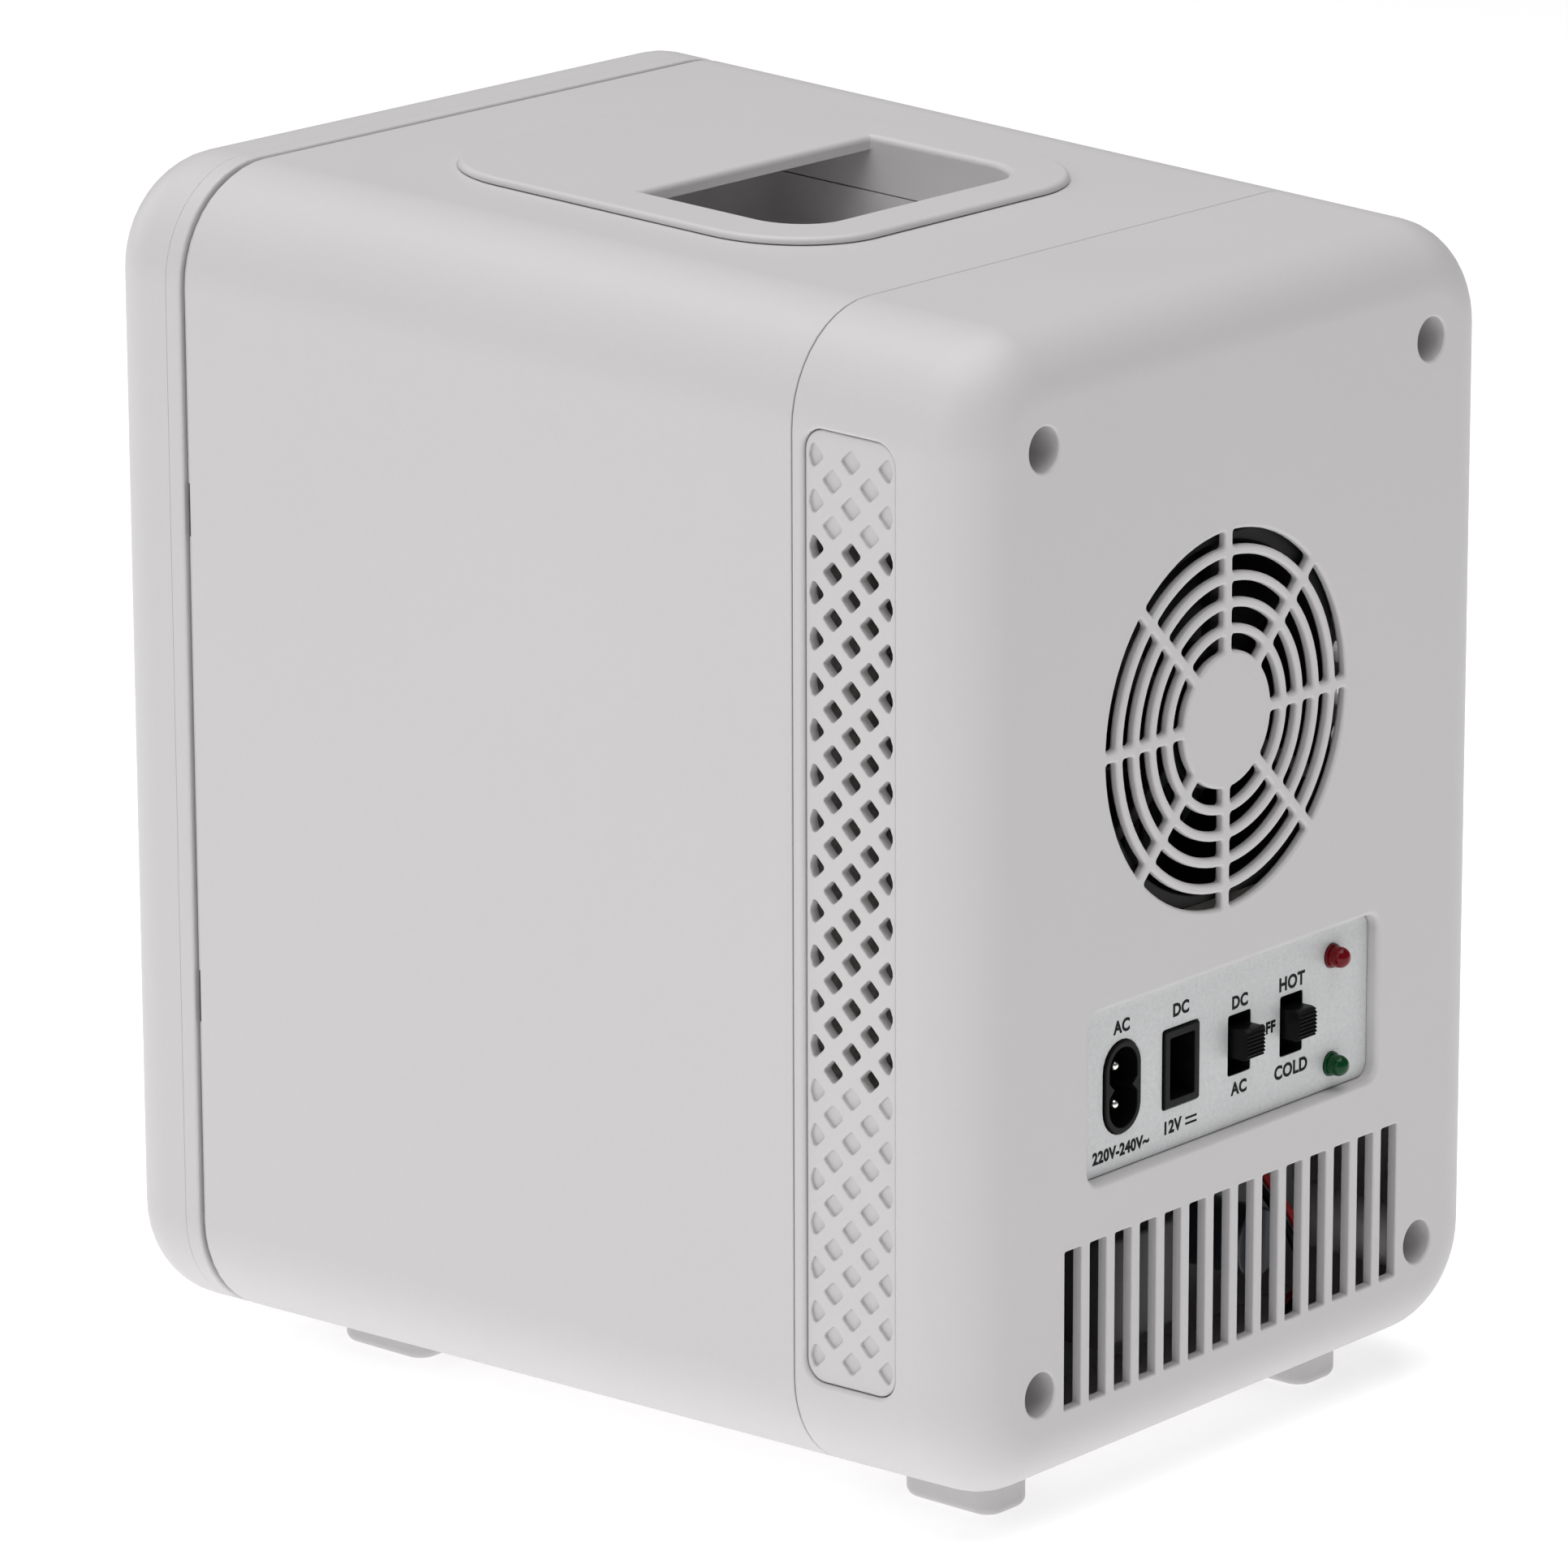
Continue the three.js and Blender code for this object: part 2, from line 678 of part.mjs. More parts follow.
function backHousing() {
  const outline = cabinetOutline(0);
  const outer = common(
    alongY(outline, backY - 90, backY, cabinetSegments, backRound),
    box(-150, 150, seamY + gap / 2, backY + 1, -20, 300),
  );
  const inner = alongY(cabinetOutline(wall), backInnerY - 90, backInnerY, cabinetSegments, backRound - wall);
  const shell = widenedSolid(cut(outer, inner, ventWindow(1), ventWindow(-1)));

  const controlFloorY = backY - controlDepth - controlBackingDepth;
  const controlBacking = box(
    -controlWidth / 2 - 2,
    controlWidth / 2 + 2,
    controlFloorY,
    backInnerY + 0.5,
    controlZ - controlHeight / 2 - 2,
    controlZ + controlHeight / 2 + 2,
  );
  const controlRecess = alongY(
    roundedRect(controlWidth, controlHeight, 3.5, 0, controlZ),
    backY - controlDepth,
    backY + 1,
    4,
  );
  const tubes = [];
  const bores = [];
  for (const x of [-screwX, screwX]) {
    for (const z of screwHeights) {
      tubes.push(rodY(x, z, screwHoleRadius + 1.8, tubeFrontY, backInnerY + 1));
      bores.push(rodY(x, z, screwHoleRadius - 0.4, tubeFrontY + tubeFloor, backY + 1));
      bores.push(rodY(x, z, 1.9, tubeFrontY - 1, backY, 10));
    }
  }
  const pillars = standoffs.map(([x, z]) => rodY(x, z, 2.8, boardBackY + gap, backInnerY + 1, 10));
  const slots = [];
  for (let i = 0; i < slotCount; i++) {
    slots.push(
      box(
        slotX(i) - slotWidth / 2,
        slotX(i) + slotWidth / 2,
        backInnerY - 1,
        backY + 1,
        slotZ - slotHeight / 2,
        slotZ + slotHeight / 2,
      ),
    );
  }
  return cut(
    join(shell, controlBacking, ...tubes, ...pillars),
    controlRecess,
    ...bores,
    ...slots,
    fanGrilleCutter(),
    ...Object.values(sockets).map((socket) => window(socket, 0)),
    ...Object.values(leds).map((z) => rodY(ledX, z, ledRadius + 0.2, backY - 12, backY + 1)),
  );
}
add("back_housing", backHousing(), casing());

// ---------------------------------------------------------------- side vents
const ventThickness = 1.6;
const ventSink = 0.8; // how far the vent's face lies under the housing's side face
const ventBorder = 1; // solid rim round the openings
const diamond = 3.9; // side of each square opening, which stands on its corner

function ventInsert(side) {
  const outerX = backWidth / 2 - ventSink;
  const x0 = side > 0 ? outerX - ventThickness : -outerX;
  const x1 = x0 + ventThickness;
  const face = (inset, round) =>
    roundedRect(ventWidth - 2 * inset, ventHeight - 2 * inset, round, ventY, ventZ);
  const openings = [];
  for (let row = ventBlindBelow; row < ventRows - ventBlindAbove; row++) {
    const z = ventZ + ((row - (ventRows - 1) / 2) * ventPitch) / 2;
    const places = row % 2 ? [-0.5, 0.5] : [-1, 0, 1];
    for (const place of places) {
      openings.push(
        new THREE.BoxGeometry(8, diamond, diamond)
          .rotateX(Math.PI / 4)
          .translate(side * outerX, ventY + place * ventPitch, z),
      );
    }
  }
  const pattern = common(join(...openings), alongX(face(gap + ventBorder, 3.7), x0 - 2, x1 + 2));
  return widenedSolid(cut(alongX(face(gap, 4.7), x0, x1, 4), pattern));
}
add("side_vent_right", ventInsert(1), casing());
add("side_vent_left", ventInsert(-1), casing());

// ---------------------------------------------------------------- screws and feet
function rearScrew(x, z) {
  const headY = tubeFrontY + tubeFloor + gap;
  const head = new THREE.CylinderGeometry(2.6, 3.6, 2.4, 14).translate(x, headY + 1.2, z);
  const shank = rodY(x, z, 1.5, bossFrontY + 2, headY + 0.5, 8);
  const cross = [
    box(x - 1.8, x + 1.8, headY + 1.2, headY + 4, z - 0.4, z + 0.4),
    box(x - 0.4, x + 0.4, headY + 1.2, headY + 4, z - 1.8, z + 1.8),
  ];
  return cut(join(head, shank), ...cross);
}

const screwNames = { left: -screwX, right: screwX };
for (const [side, x] of Object.entries(screwNames)) {
  add("screw_lower_" + side, rearScrew(x, screwHeights[0]), steel());
  add("screw_upper_" + side, rearScrew(x, screwHeights[1]), steel());
}

function foot(x, y) {
  const top = bottomAt(y + footLength / 2) - gap - 0.1;
  const bevelled = alongZ(roundedRect(footWidth, footLength, 5, x, y), 0, top + 6, 2, 2.2);
  return common(bevelled, box(x - 20, x + 20, y - 30, y + 30, -1, top));
}
for (const [side, sign] of [
  ["left", -1],
  ["right", 1],
]) {
  add("foot_front_" + side, foot(sign * frontFoot.x, frontY + frontFoot.fromFront), casing());
  add("foot_rear_" + side, foot(sign * rearFoot.x, backY - rearFoot.fromBack), casing());
}

// ---------------------------------------------------------------- cooling stack, from the cavity to the back
const squareY = (size, y0, y1, radius = 2) =>
  alongY(roundedRect(size, size, radius, coolingX, coolingZ), y0, y1, 1);

function finnedSink(size, baseY0, baseY1, finsY0, finsY1, count, finThickness) {
  const half = size / 2;
  const pieces = [box(coolingX - half, coolingX + half, baseY0, baseY1, coolingZ - half, coolingZ + half)];
  for (let i = 0; i < count; i++) {
    const x = coolingX - half + finThickness / 2 + (i * (size - finThickness)) / (count - 1);
    pieces.push(
      box(x - finThickness / 2, x + finThickness / 2, finsY0, finsY1, coolingZ - half, coolingZ + half),
    );
  }
  return join(...pieces);
}

function fanRotor(radius, hubRadius, y0, y1, blades, pitch) {
  const pieces = [rodY(coolingX, coolingZ, hubRadius, y0, y1, 24)];
  const chord = (y1 - y0 - 2) / Math.sin(pitch);
  for (let i = 0; i < blades; i++) {
    const blade = new THREE.BoxGeometry(radius - hubRadius + 1, 1.4, chord)
      .rotateX(pitch)
      .translate((radius + hubRadius - 1) / 2, 0, 0)
      .rotateY((i * 2 * Math.PI) / blades)
      .translate(coolingX, (y0 + y1) / 2, coolingZ);
    pieces.push(blade);
  }
  return common(join(...pieces), rodY(coolingX, coolingZ, radius, y0, y1, 32));
}

function fanFrame(size, boreRadius, y0, y1, hubRadius, screwOffset) {
  const block = squareY(size, y0, y1, 4);
  const base = rodY(coolingX, coolingZ, hubRadius, y0, y0 + 2, 20);
  const struts = [0, 1, 2].map((i) =>
    box(0, boreRadius + 1, y0, y0 + 2, -1.4, 1.4)
      .rotateY((i * 2 * Math.PI) / 3 + 0.5)
      .translate(coolingX, 0, coolingZ),
  );
  const holes = [];
  for (const sx of [-1, 1]) {
    for (const sz of [-1, 1]) {
      holes.push(rodY(coolingX + sx * screwOffset, coolingZ + sz * screwOffset, 1.6, y0 - 1, y1 + 1, 8));
    }
  }
  const bored = cut(block, rodY(coolingX, coolingZ, boreRadius, y0 - 1, y1 + 1, 32), ...holes);
  return join(bored, base, ...struts);
}

const fanBackY = backInnerY - 0.6;
const fanFrontY = fanBackY - fanThickness;
const elementY0 = insulationBackY + 0.5;
const hotBaseY0 = elementY0 + 4.2;

add("fan_frame", fanFrame(fanSize, 38.2, fanFrontY, fanBackY, 16, 35.75), black());
add("fan_rotor", fanRotor(36.6, 15.6, fanFrontY + 2.6, fanBackY - 1.4, 7, 0.95), black());
add(
  "hot_sink",
  finnedSink(90, hotBaseY0, hotBaseY0 + 5, hotBaseY0 + 4, fanFrontY - gap, 15, 1.3),
  aluminium(),
);
add(
  "peltier_element",
  squareY(coldBlockSize, elementY0, hotBaseY0 - gap, 0.5),
  plastic("#e6e2d8", 0.5),
);
add("cold_block", squareY(coldBlockSize, cavityBackY, elementY0 - gap, 0.5), aluminium());
add(
  "cold_sink",
  finnedSink(60, cavityBackY - 4.3, cavityBackY - gap, cavityBackY - 16, cavityBackY - 3.5, 13, 1.1),
  aluminium(),
);
const coldFanBackY = cavityBackY - 16.6;
add("cold_fan_frame", fanFrame(50, 23.6, coldFanBackY - 10, coldFanBackY, 11, 20), black());
add("cold_fan_rotor", fanRotor(22.6, 10.6, coldFanBackY - 7.6, coldFanBackY - 0.6, 7, 0.8), black());

function coldCover() {
  const y0 = cavityBackY - 31;
  const y1 = cavityBackY - gap;
  const outline = roundedRect(82, 96, 8, coolingX, coolingZ);
  const shell = cut(
    alongY(outline, y0, y1),
    alongY(roundedRect(78, 92, 6, coolingX, coolingZ), y0 + 2, y1 + 1),
  );
  const slots = [];
  for (let i = -4; i <= 4; i++) {
    const half = Math.sqrt(22 * 22 - i * i * 25);
    if (half > 4) {
      const z = coolingZ + i * 5;
      slots.push(box(coolingX - half, coolingX + half, y0 - 1, y0 + 3, z - 1.5, z + 1.5));
    }
  }
  for (let i = -2; i <= 2; i++) {
    const z = coolingZ + i * 12;
    slots.push(box(coolingX - 50, coolingX + 50, y1 - 18, y1 - 4, z - 2, z + 2));
  }
  return cut(shell, ...slots);
}
add("cold_fan_cover", coldCover(), innerWhite());

// ---------------------------------------------------------------- power board and its parts
const boardFrontY = boardBackY - boardThickness;
add("power_board", box(-56, 56, boardFrontY, boardBackY, 20.5, 70.6), plastic("#5d6f66", 0.6));
add("transformer", box(8, 36, boardBackY + gap, boardBackY + 19, 33, 57), plastic("#c9b23a", 0.5));
add("capacitor", rodY(-18, 44, 8, boardBackY + gap, boardBackY + 20, 28), plastic("#23262b", 0.4));

// Each point is X, the distance behind the board, and Z.
function wire(points) {
  const path = new THREE.CatmullRomCurve3(points.map(([x, y, z]) => new THREE.Vector3(x, boardBackY + y, z)));
  const round = new THREE.Shape().absarc(0, 0, 1, 0, Math.PI * 2);
  return new THREE.ExtrudeGeometry(round, { steps: 12, curveSegments: 3, extrudePath: path });
}
add(
  "fan_wire_red",
  wire([
    [-30, 2, 64],
    [-34, 10, 52],
    [-38, 16, 40],
    [-42, 13, 27],
    [-46, 4, 19],
  ]),
  plastic("#b3202a", 0.45),
);
add(
  "fan_wire_black",
  wire([
    [-25, 2, 64],
    [-29, 13, 51],
    [-33, 19, 38],
    [-37, 16, 26],
    [-41, 7, 18],
  ]),
  black(),
);

// ---------------------------------------------------------------- control plate, inlets, switches, lamps
const plateY = backY - controlDepth + gap;
const plateThickness = 0.7;
const plateFaceY = plateY + plateThickness;

function controlPlate() {
  const plate = alongY(
    roundedRect(controlWidth - 1, controlHeight - 1, 3, 0, controlZ),
    plateY,
    plateFaceY,
  );
  return cut(
    plate,
    ...Object.values(sockets).map((socket) => window(socket, 0.3)),
    ...Object.values(leds).map((z) => rodY(ledX, z, ledRadius + 0.3, backY - 12, backY + 1)),
  );
}
add("control_plate", controlPlate(), metal("#a9b0b6", 0.45));

const pinSpacing = 8.6;
const inletRim = 1.7;
const inletFloorY = backY - 15;
const inletBackY = plateFaceY + 0.6;

// A figure-of-eight inlet: a shroud with a straight-sided hollow, waisted by a key on each side.
function acInlet() {
  const { x, width, height, round } = sockets.ac;
  const outer = alongY(
    roundedRect(width - 2 * gap, height - 2 * gap, round - gap, x, socketZ),
    backY - 24,
    inletBackY,
    3,
  );
  const hollow = alongY(
    roundedRect(width - 2 * inletRim, height - 2 * inletRim, round - inletRim, x, socketZ),
    inletFloorY,
    inletBackY + 1,
    3,
  );
  const keys = [-1, 1].map((side) => {
    const edge = x + side * (width / 2 - 1.9);
    return box(edge - 1.4, edge + 1.4, inletFloorY - 1, inletBackY - 0.4, socketZ - 1.2, socketZ + 1.2);
  });
  const pinHoles = [-1, 1].map((side) =>
    rodY(x, socketZ + (side * pinSpacing) / 2, 1.45, backY - 30, backY - 10, 12),
  );
  return cut(join(cut(outer, hollow), ...keys), ...pinHoles);
}
add("ac_inlet", acInlet(), black());
["lower", "upper"].forEach((where, i) => {
  const z = socketZ + ((2 * i - 1) * pinSpacing) / 2;
  const shaft = rodY(sockets.ac.x, z, 1.15, backY - 27, backY - 5.2, 12);
  const tip = new THREE.SphereGeometry(1.15, 12, 6).translate(sockets.ac.x, backY - 5.2, z);
  add("ac_pin_" + where, join(shaft, tip), brightPin());
});

const dcRim = 2.2;
const dcPinAside = 3; // from the socket's middle to each pin

function dcSocket() {
  const { x, width, height } = sockets.dc;
  const outer = alongY(
    roundedRect(width - 2 * gap, height - 2 * gap, 0.6, x, socketZ),
    backY - 22,
    inletBackY,
    1,
  );
  const hollow = alongY(
    roundedRect(width - 2 * dcRim, height - 2 * dcRim, 0.6, x, socketZ),
    backY - 14,
    inletBackY + 1,
    1,
  );
  const pinHoles = [-1, 1].map((side) =>
    rodY(x, socketZ + side * dcPinAside, 1.3, backY - 30, backY - 10, 12),
  );
  return cut(outer, hollow, ...pinHoles);
}
add("dc_socket", dcSocket(), black());
["lower", "upper"].forEach((where, i) => {
  const z = socketZ + (2 * i - 1) * dcPinAside;
  add("dc_pin_" + where, rodY(sockets.dc.x, z, 1, backY - 25, backY - 7, 12), brightPin());
});

const knobEndY = backY + knobProud;
const knobHalfX = 3.1;
const knobHalfZ = 3.4;
const knobRestAbove = 0.7; // at rest the knobs stand a little above the middle of their windows
const knobZ = socketZ + knobRestAbove;
const switchBackY = backY - controlDepth - controlBackingDepth - gap;
const switchBodyDepth = 9;

function switchBody({ x, width, height }) {
  const halfX = width / 2;
  const halfZ = height / 2;
  const y0 = switchBackY - switchBodyDepth;
  const outer = box(x - halfX - 2, x + halfX + 2, y0, switchBackY, socketZ - halfZ - 4, socketZ + halfZ + 4);
  const room = knobHalfX + gap;
  const roomZ = halfZ + 0.2;
  const hollow = box(x - room, x + room, y0 + 3, switchBackY + 1, socketZ - roomZ, socketZ + roomZ);
  return cut(outer, hollow);
}

function switchKnob({ x }) {
  const y0 = switchBackY - switchBodyDepth + 3 + gap;
  const stem = box(x - knobHalfX, x + knobHalfX, y0, knobEndY, knobZ - knobHalfZ, knobZ + knobHalfZ);
  const grooves = [-1, 0, 1].map((i) => {
    const z = knobZ + i * 2;
    return box(x - 4, x + 4, knobEndY - 0.8, knobEndY + 1, z - 0.4, z + 0.4);
  });
  return cut(stem, ...grooves);
}
add("power_switch_body", switchBody(sockets.powerSwitch), black());
add("power_switch_knob", switchKnob(sockets.powerSwitch), black());
add("mode_switch_body", switchBody(sockets.modeSwitch), black());
add("mode_switch_knob", switchKnob(sockets.modeSwitch), black());

const lampLook = { led_red: "#c81420", led_green: "#14963c" };
for (const [name, z] of Object.entries(leds)) {
  const domeY = plateFaceY + ledCollar;
  const stem = rodY(ledX, z, ledRadius - 0.15, backY - 9, domeY, 16);
  const dome = new THREE.SphereGeometry(ledRadius - 0.15, 16, 8).translate(ledX, domeY, z);
  add(name, join(stem, dome), plastic(lampLook[name], 0.15));
}

export default fridge;
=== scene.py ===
import math
from types import SimpleNamespace

import bmesh
import bpy
import numpy as np
from bpy.props import FloatProperty, FloatVectorProperty, PointerProperty
from mathutils import Matrix, Vector
from mathutils.geometry import delaunay_2d_cdt


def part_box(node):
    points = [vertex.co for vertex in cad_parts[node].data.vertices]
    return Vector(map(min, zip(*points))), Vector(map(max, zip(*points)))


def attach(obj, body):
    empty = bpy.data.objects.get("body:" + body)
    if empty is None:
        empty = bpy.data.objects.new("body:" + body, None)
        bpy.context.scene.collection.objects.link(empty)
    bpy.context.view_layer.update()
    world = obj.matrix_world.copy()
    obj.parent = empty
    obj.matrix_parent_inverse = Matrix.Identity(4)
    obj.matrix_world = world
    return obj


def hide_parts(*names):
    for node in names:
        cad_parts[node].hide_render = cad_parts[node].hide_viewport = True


bl_info = {
    "name": "Mini fridge",
    "version": (1, 0, 0),
    "blender": (4, 5, 0),
    "location": "View3D > Sidebar > Fridge",
    "description": "Builds the shells, vents, grille, controls and inside of a small thermoelectric fridge",
    "category": "Add Mesh",
}

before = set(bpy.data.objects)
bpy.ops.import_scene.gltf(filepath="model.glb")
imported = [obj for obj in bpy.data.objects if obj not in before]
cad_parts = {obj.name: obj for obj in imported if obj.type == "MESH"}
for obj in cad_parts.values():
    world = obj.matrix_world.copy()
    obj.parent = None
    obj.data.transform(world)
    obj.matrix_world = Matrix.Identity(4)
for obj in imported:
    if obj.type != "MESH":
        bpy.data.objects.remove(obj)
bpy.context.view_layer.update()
MM = 0.001


def span(node):
    """Lowest and highest corner of a CAD node, in millimetres."""
    low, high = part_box(node)
    return np.array(low) / MM, np.array(high) / MM


def placed(node):
    """A CAD node's lowest and highest corner, and the X and Z of its middle."""
    low, high = span(node)
    return low, high, (low[0] + high[0]) / 2, (low[2] + high[2]) / 2


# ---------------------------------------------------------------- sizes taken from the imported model
SHELL_LOW, SHELL_HIGH = span("body_shell")
HOUSING_LOW, HOUSING_HIGH = span("back_housing")
DOOR_LOW, DOOR_HIGH = span("door_outer_shell")
PANEL_LOW, PANEL_HIGH = span("door_inner_panel")
BACK_Y = HOUSING_HIGH[1]
FRONT_Y = DOOR_LOW[1]
WALL = 2.4
X_AXIS, Y_AXIS, Z_AXIS = np.eye(3)


def through(y0, a0, y1, a1):
    """Slope and value at Y = 0 of the straight line through two points."""
    slope = (a1 - a0) / (y1 - y0)
    return slope, a0 - slope * y0


STATIONS = SHELL_LOW[1], HOUSING_LOW[1]
WIDTH_SLOPE, WIDTH_ZERO = through(STATIONS[0], SHELL_HIGH[0], STATIONS[1], HOUSING_HIGH[0])
TOP_SLOPE, TOP_ZERO = through(STATIONS[0], SHELL_HIGH[2], STATIONS[1], HOUSING_HIGH[2])
BOTTOM_SLOPE, BOTTOM_ZERO = through(STATIONS[0], SHELL_LOW[2], STATIONS[1], HOUSING_LOW[2])
HALF = WIDTH_ZERO + WIDTH_SLOPE * BACK_Y  # half width, top and bottom at the back plane
TOP = TOP_ZERO + TOP_SLOPE * BACK_Y
BOTTOM = BOTTOM_ZERO + BOTTOM_SLOPE * BACK_Y


def length(name, description, default, low, high):
    """A length that a user can set, given here in millimetres and held in metres."""
    return FloatProperty(
        name=name,
        description=description,
        default=default * MM,
        min=low * MM,
        max=high * MM,
        precision=5,
        subtype="DISTANCE",
        unit="LENGTH",
    )


def colour(name, description, default):
    """A colour that a user can set."""
    return FloatVectorProperty(
        name=name,
        description=description,
        default=default,
        size=3,
        min=0,
        max=1,
        subtype="COLOR",
    )


class FridgeSizes(bpy.types.PropertyGroup):
    """Edge radii and thicknesses of the moulded pieces"""

    corner: length("Corner radius", "Radius of the cabinet's four long edges", 24.0, 16.0, 30.0)
    back_round: length("Back edge", "Radius of the edge round the back", 14.6, 8.0, 18.0)
    door_round: length("Door edge", "Radius of the edge round the door's front", 15.6, 8.0, 18.0)
    seam: length("Seam edge", "Radius of the edges beside each seam", 0.3, 0.1, 0.8)
    opening_edge: length("Opening edge", "Radius of the edge round the lower slots", 0.45, 0.1, 0.6)
    bar_edge: length("Bar edge", "Radius of the edges of the fan grille's bars", 0.8, 0.2, 0.9)
    grip_edge: length("Grip edge", "Radius of the edge of the carry grip", 1.5, 0.5, 1.6)
    vent_depth: length("Vent depth", "Thickness of the side vent lattice", 2.4, 1.2, 3.0)


class FridgeColours(bpy.types.PropertyGroup):
    """Colours of the fridge's plastics, plate and lamps"""

    casing: colour("Casing", "Moulded shells", (0.62, 0.605, 0.61))
    inside: colour("Inside", "Liner, shelf and rack", (0.74, 0.745, 0.75))
    black: colour("Black plastic", "Inlets, knobs and fans", (0.0035, 0.0035, 0.004))
    silver: colour("Control plate", "Silver plate behind the controls", (0.60, 0.63, 0.64))
    red_lamp: colour("Red lamp", "Heating lamp", (0.15, 0.0008, 0.004))
    green_lamp: colour("Green lamp", "Cooling lamp", (0.0008, 0.05, 0.012))


def sizes():
    """The user's sizes, in millimetres."""
    group = bpy.context.scene.fridge_sizes
    names = FridgeSizes.__annotations__
    return SimpleNamespace(**{name: round(getattr(group, name) / MM, 4) for name in names})


def colours():
    return bpy.context.scene.fridge_colours


# ---------------------------------------------------------------- outlines: points and outward normals
def corner_outline(centre, half_width, half_height, radius, ticks, along=0):
    """Closed outline of a rectangle with quarter-circle corners, anticlockwise from its lower right corner.
    A point is its corner's centre + radius * (cos t, sin t); each flat can have more points along it."""
    radius = np.broadcast_to(np.asarray(radius, float), 4)[:, None, None]
    turn = np.add.outer(np.radians([-90, 0, 90, 180]), np.radians(ticks))
    normals = np.stack([np.cos(turn), np.sin(turn)], -1)
    sign = np.array([[1, -1], [1, 1], [-1, 1], [-1, -1]])[:, None]
    middle = sign * (np.array([half_width, half_height]) - radius)
    points = middle + radius * normals + np.asarray(centre)
    if along:
        share = (np.arange(1, along + 1) / (along + 1))[None, :, None]
        start, end = points[:, -1:], np.roll(points[:, :1], -1, 0)
        points = np.concatenate([points, start + share * (end - start)], 1)
        normals = np.concatenate([normals, np.repeat(normals[:, -1:], along, 1)], 1)
    return points.reshape(-1, 2), normals.reshape(-1, 2)


def round_rect(width, height, radius, centre=(0, 0), steps=6, along=0):
    return corner_outline(centre, width / 2, height / 2, radius, np.linspace(0, 90, steps + 1), along)


def circle(radius, centre=(0, 0), steps=48):
    turn = np.arange(steps) * 2 * np.pi / steps
    normals = np.stack([np.cos(turn), np.sin(turn)], -1)
    return normals * radius + np.asarray(centre), normals


def with_normals(points):
    """A closed anticlockwise outline's normals: its central differences, turned a quarter right."""
    tangent = np.roll(points, -1, 0) - np.roll(points, 1, 0)
    tangent /= np.linalg.norm(tangent, axis=1, keepdims=True)
    return points, np.stack([tangent[:, 1], -tangent[:, 0]], -1)


def offset(outline, distance):
    points, normals = outline
    return points + distance * normals, normals


# ---------------------------------------------------------------- surfaces: points, normals and faces
def facing(points, normals, faces):
    """Turns each face so that it faces the way its corners' normals do."""
    a, b, c, d = (points[faces[:, k]] for k in (0, 1, 2, -1))
    across = np.cross(c - a, d - b) if faces.shape[1] == 4 else np.cross(b - a, c - a)
    wrong = np.einsum("ij,ij->i", across, normals[faces].sum(1)) < 0
    faces = faces.copy()
    faces[wrong] = faces[wrong][:, ::-1]
    return points, normals, faces


def sheet(points, normals, closed=True, skip=()):
    """A grid of points: each row is joined to the next, and the last to the first if closed.
    Rows in skip start no faces."""
    rows, columns = points.shape[:2]
    i = np.setdiff1d(np.arange(rows if closed else rows - 1), skip)[:, None]
    j = np.arange(columns - 1)[None]
    k = (i + 1) % rows
    faces = np.stack([i * columns + j, k * columns + j, k * columns + j + 1, i * columns + j + 1], -1)
    return facing(points.reshape(-1, 3), normals.reshape(-1, 3), faces.reshape(-1, 4))


class Face:
    """A flat face: its origin, the two directions along it and the direction out of it."""

    def __init__(self, origin, across, up, out):
        self.origin, self.across = np.asarray(origin, float), np.asarray(across, float)
        self.up, self.out = np.asarray(up, float), np.asarray(out, float)

    def at(self, points, depth=0.0):
        depth = np.asarray(depth, float)[..., None]
        return self.origin + points[..., :1] * self.across + points[..., 1:] * self.up - depth * self.out

    def turn(self, normals, out):
        out = np.asarray(out, float)[..., None]
        return normals[..., :1] * self.across + normals[..., 1:] * self.up + out * self.out


def back_face(y):
    return Face((0, y, 0), X_AXIS, Z_AXIS, Y_AXIS)


def front_face(y):
    return Face((0, y, 0), X_AXIS, Z_AXIS, -Y_AXIS)


def triangles(loops):
    """Corners and triangles of the area inside an odd number of the loops."""
    points = np.concatenate(loops)
    ends = np.cumsum([len(loop) for loop in loops])
    start = np.arange(len(points))
    finish = start + 1
    finish[ends - 1] = ends - [len(loop) for loop in loops]
    edges = np.stack([start, finish], -1).tolist()
    made = delaunay_2d_cdt([Vector(p) for p in points.tolist()], edges, [], 0, 1e-7)
    corners = np.array([tuple(v) for v in made[0]])
    faces = np.array(made[2])
    middle = corners[faces].mean(1)
    a, b = points[start], points[finish]
    inside = np.zeros(len(middle), bool)
    for part in np.array_split(np.arange(len(middle)), max(1, len(middle) // 2000)):
        x, y = middle[part, :1], middle[part, 1:]
        spans = (a[:, 1] > y) != (b[:, 1] > y)
        rise = np.where(b[:, 1] == a[:, 1], 1, b[:, 1] - a[:, 1])
        crossing = a[:, 0] + (y - a[:, 1]) / rise * (b[:, 0] - a[:, 0])
        inside[part] = (spans & (x < crossing)).sum(1) % 2 == 1
    return corners, faces[inside]


def patch(face, outline, holes=(), depth=0.0, out=1):
    """The flat area inside an outline and outside its holes."""
    corners, faces = triangles([outline[0], *(h[0] for h in holes)])
    normals = np.broadcast_to(out * face.out, (len(corners), 3)).copy()
    return facing(face.at(corners, np.full(len(corners), depth)), normals, faces)


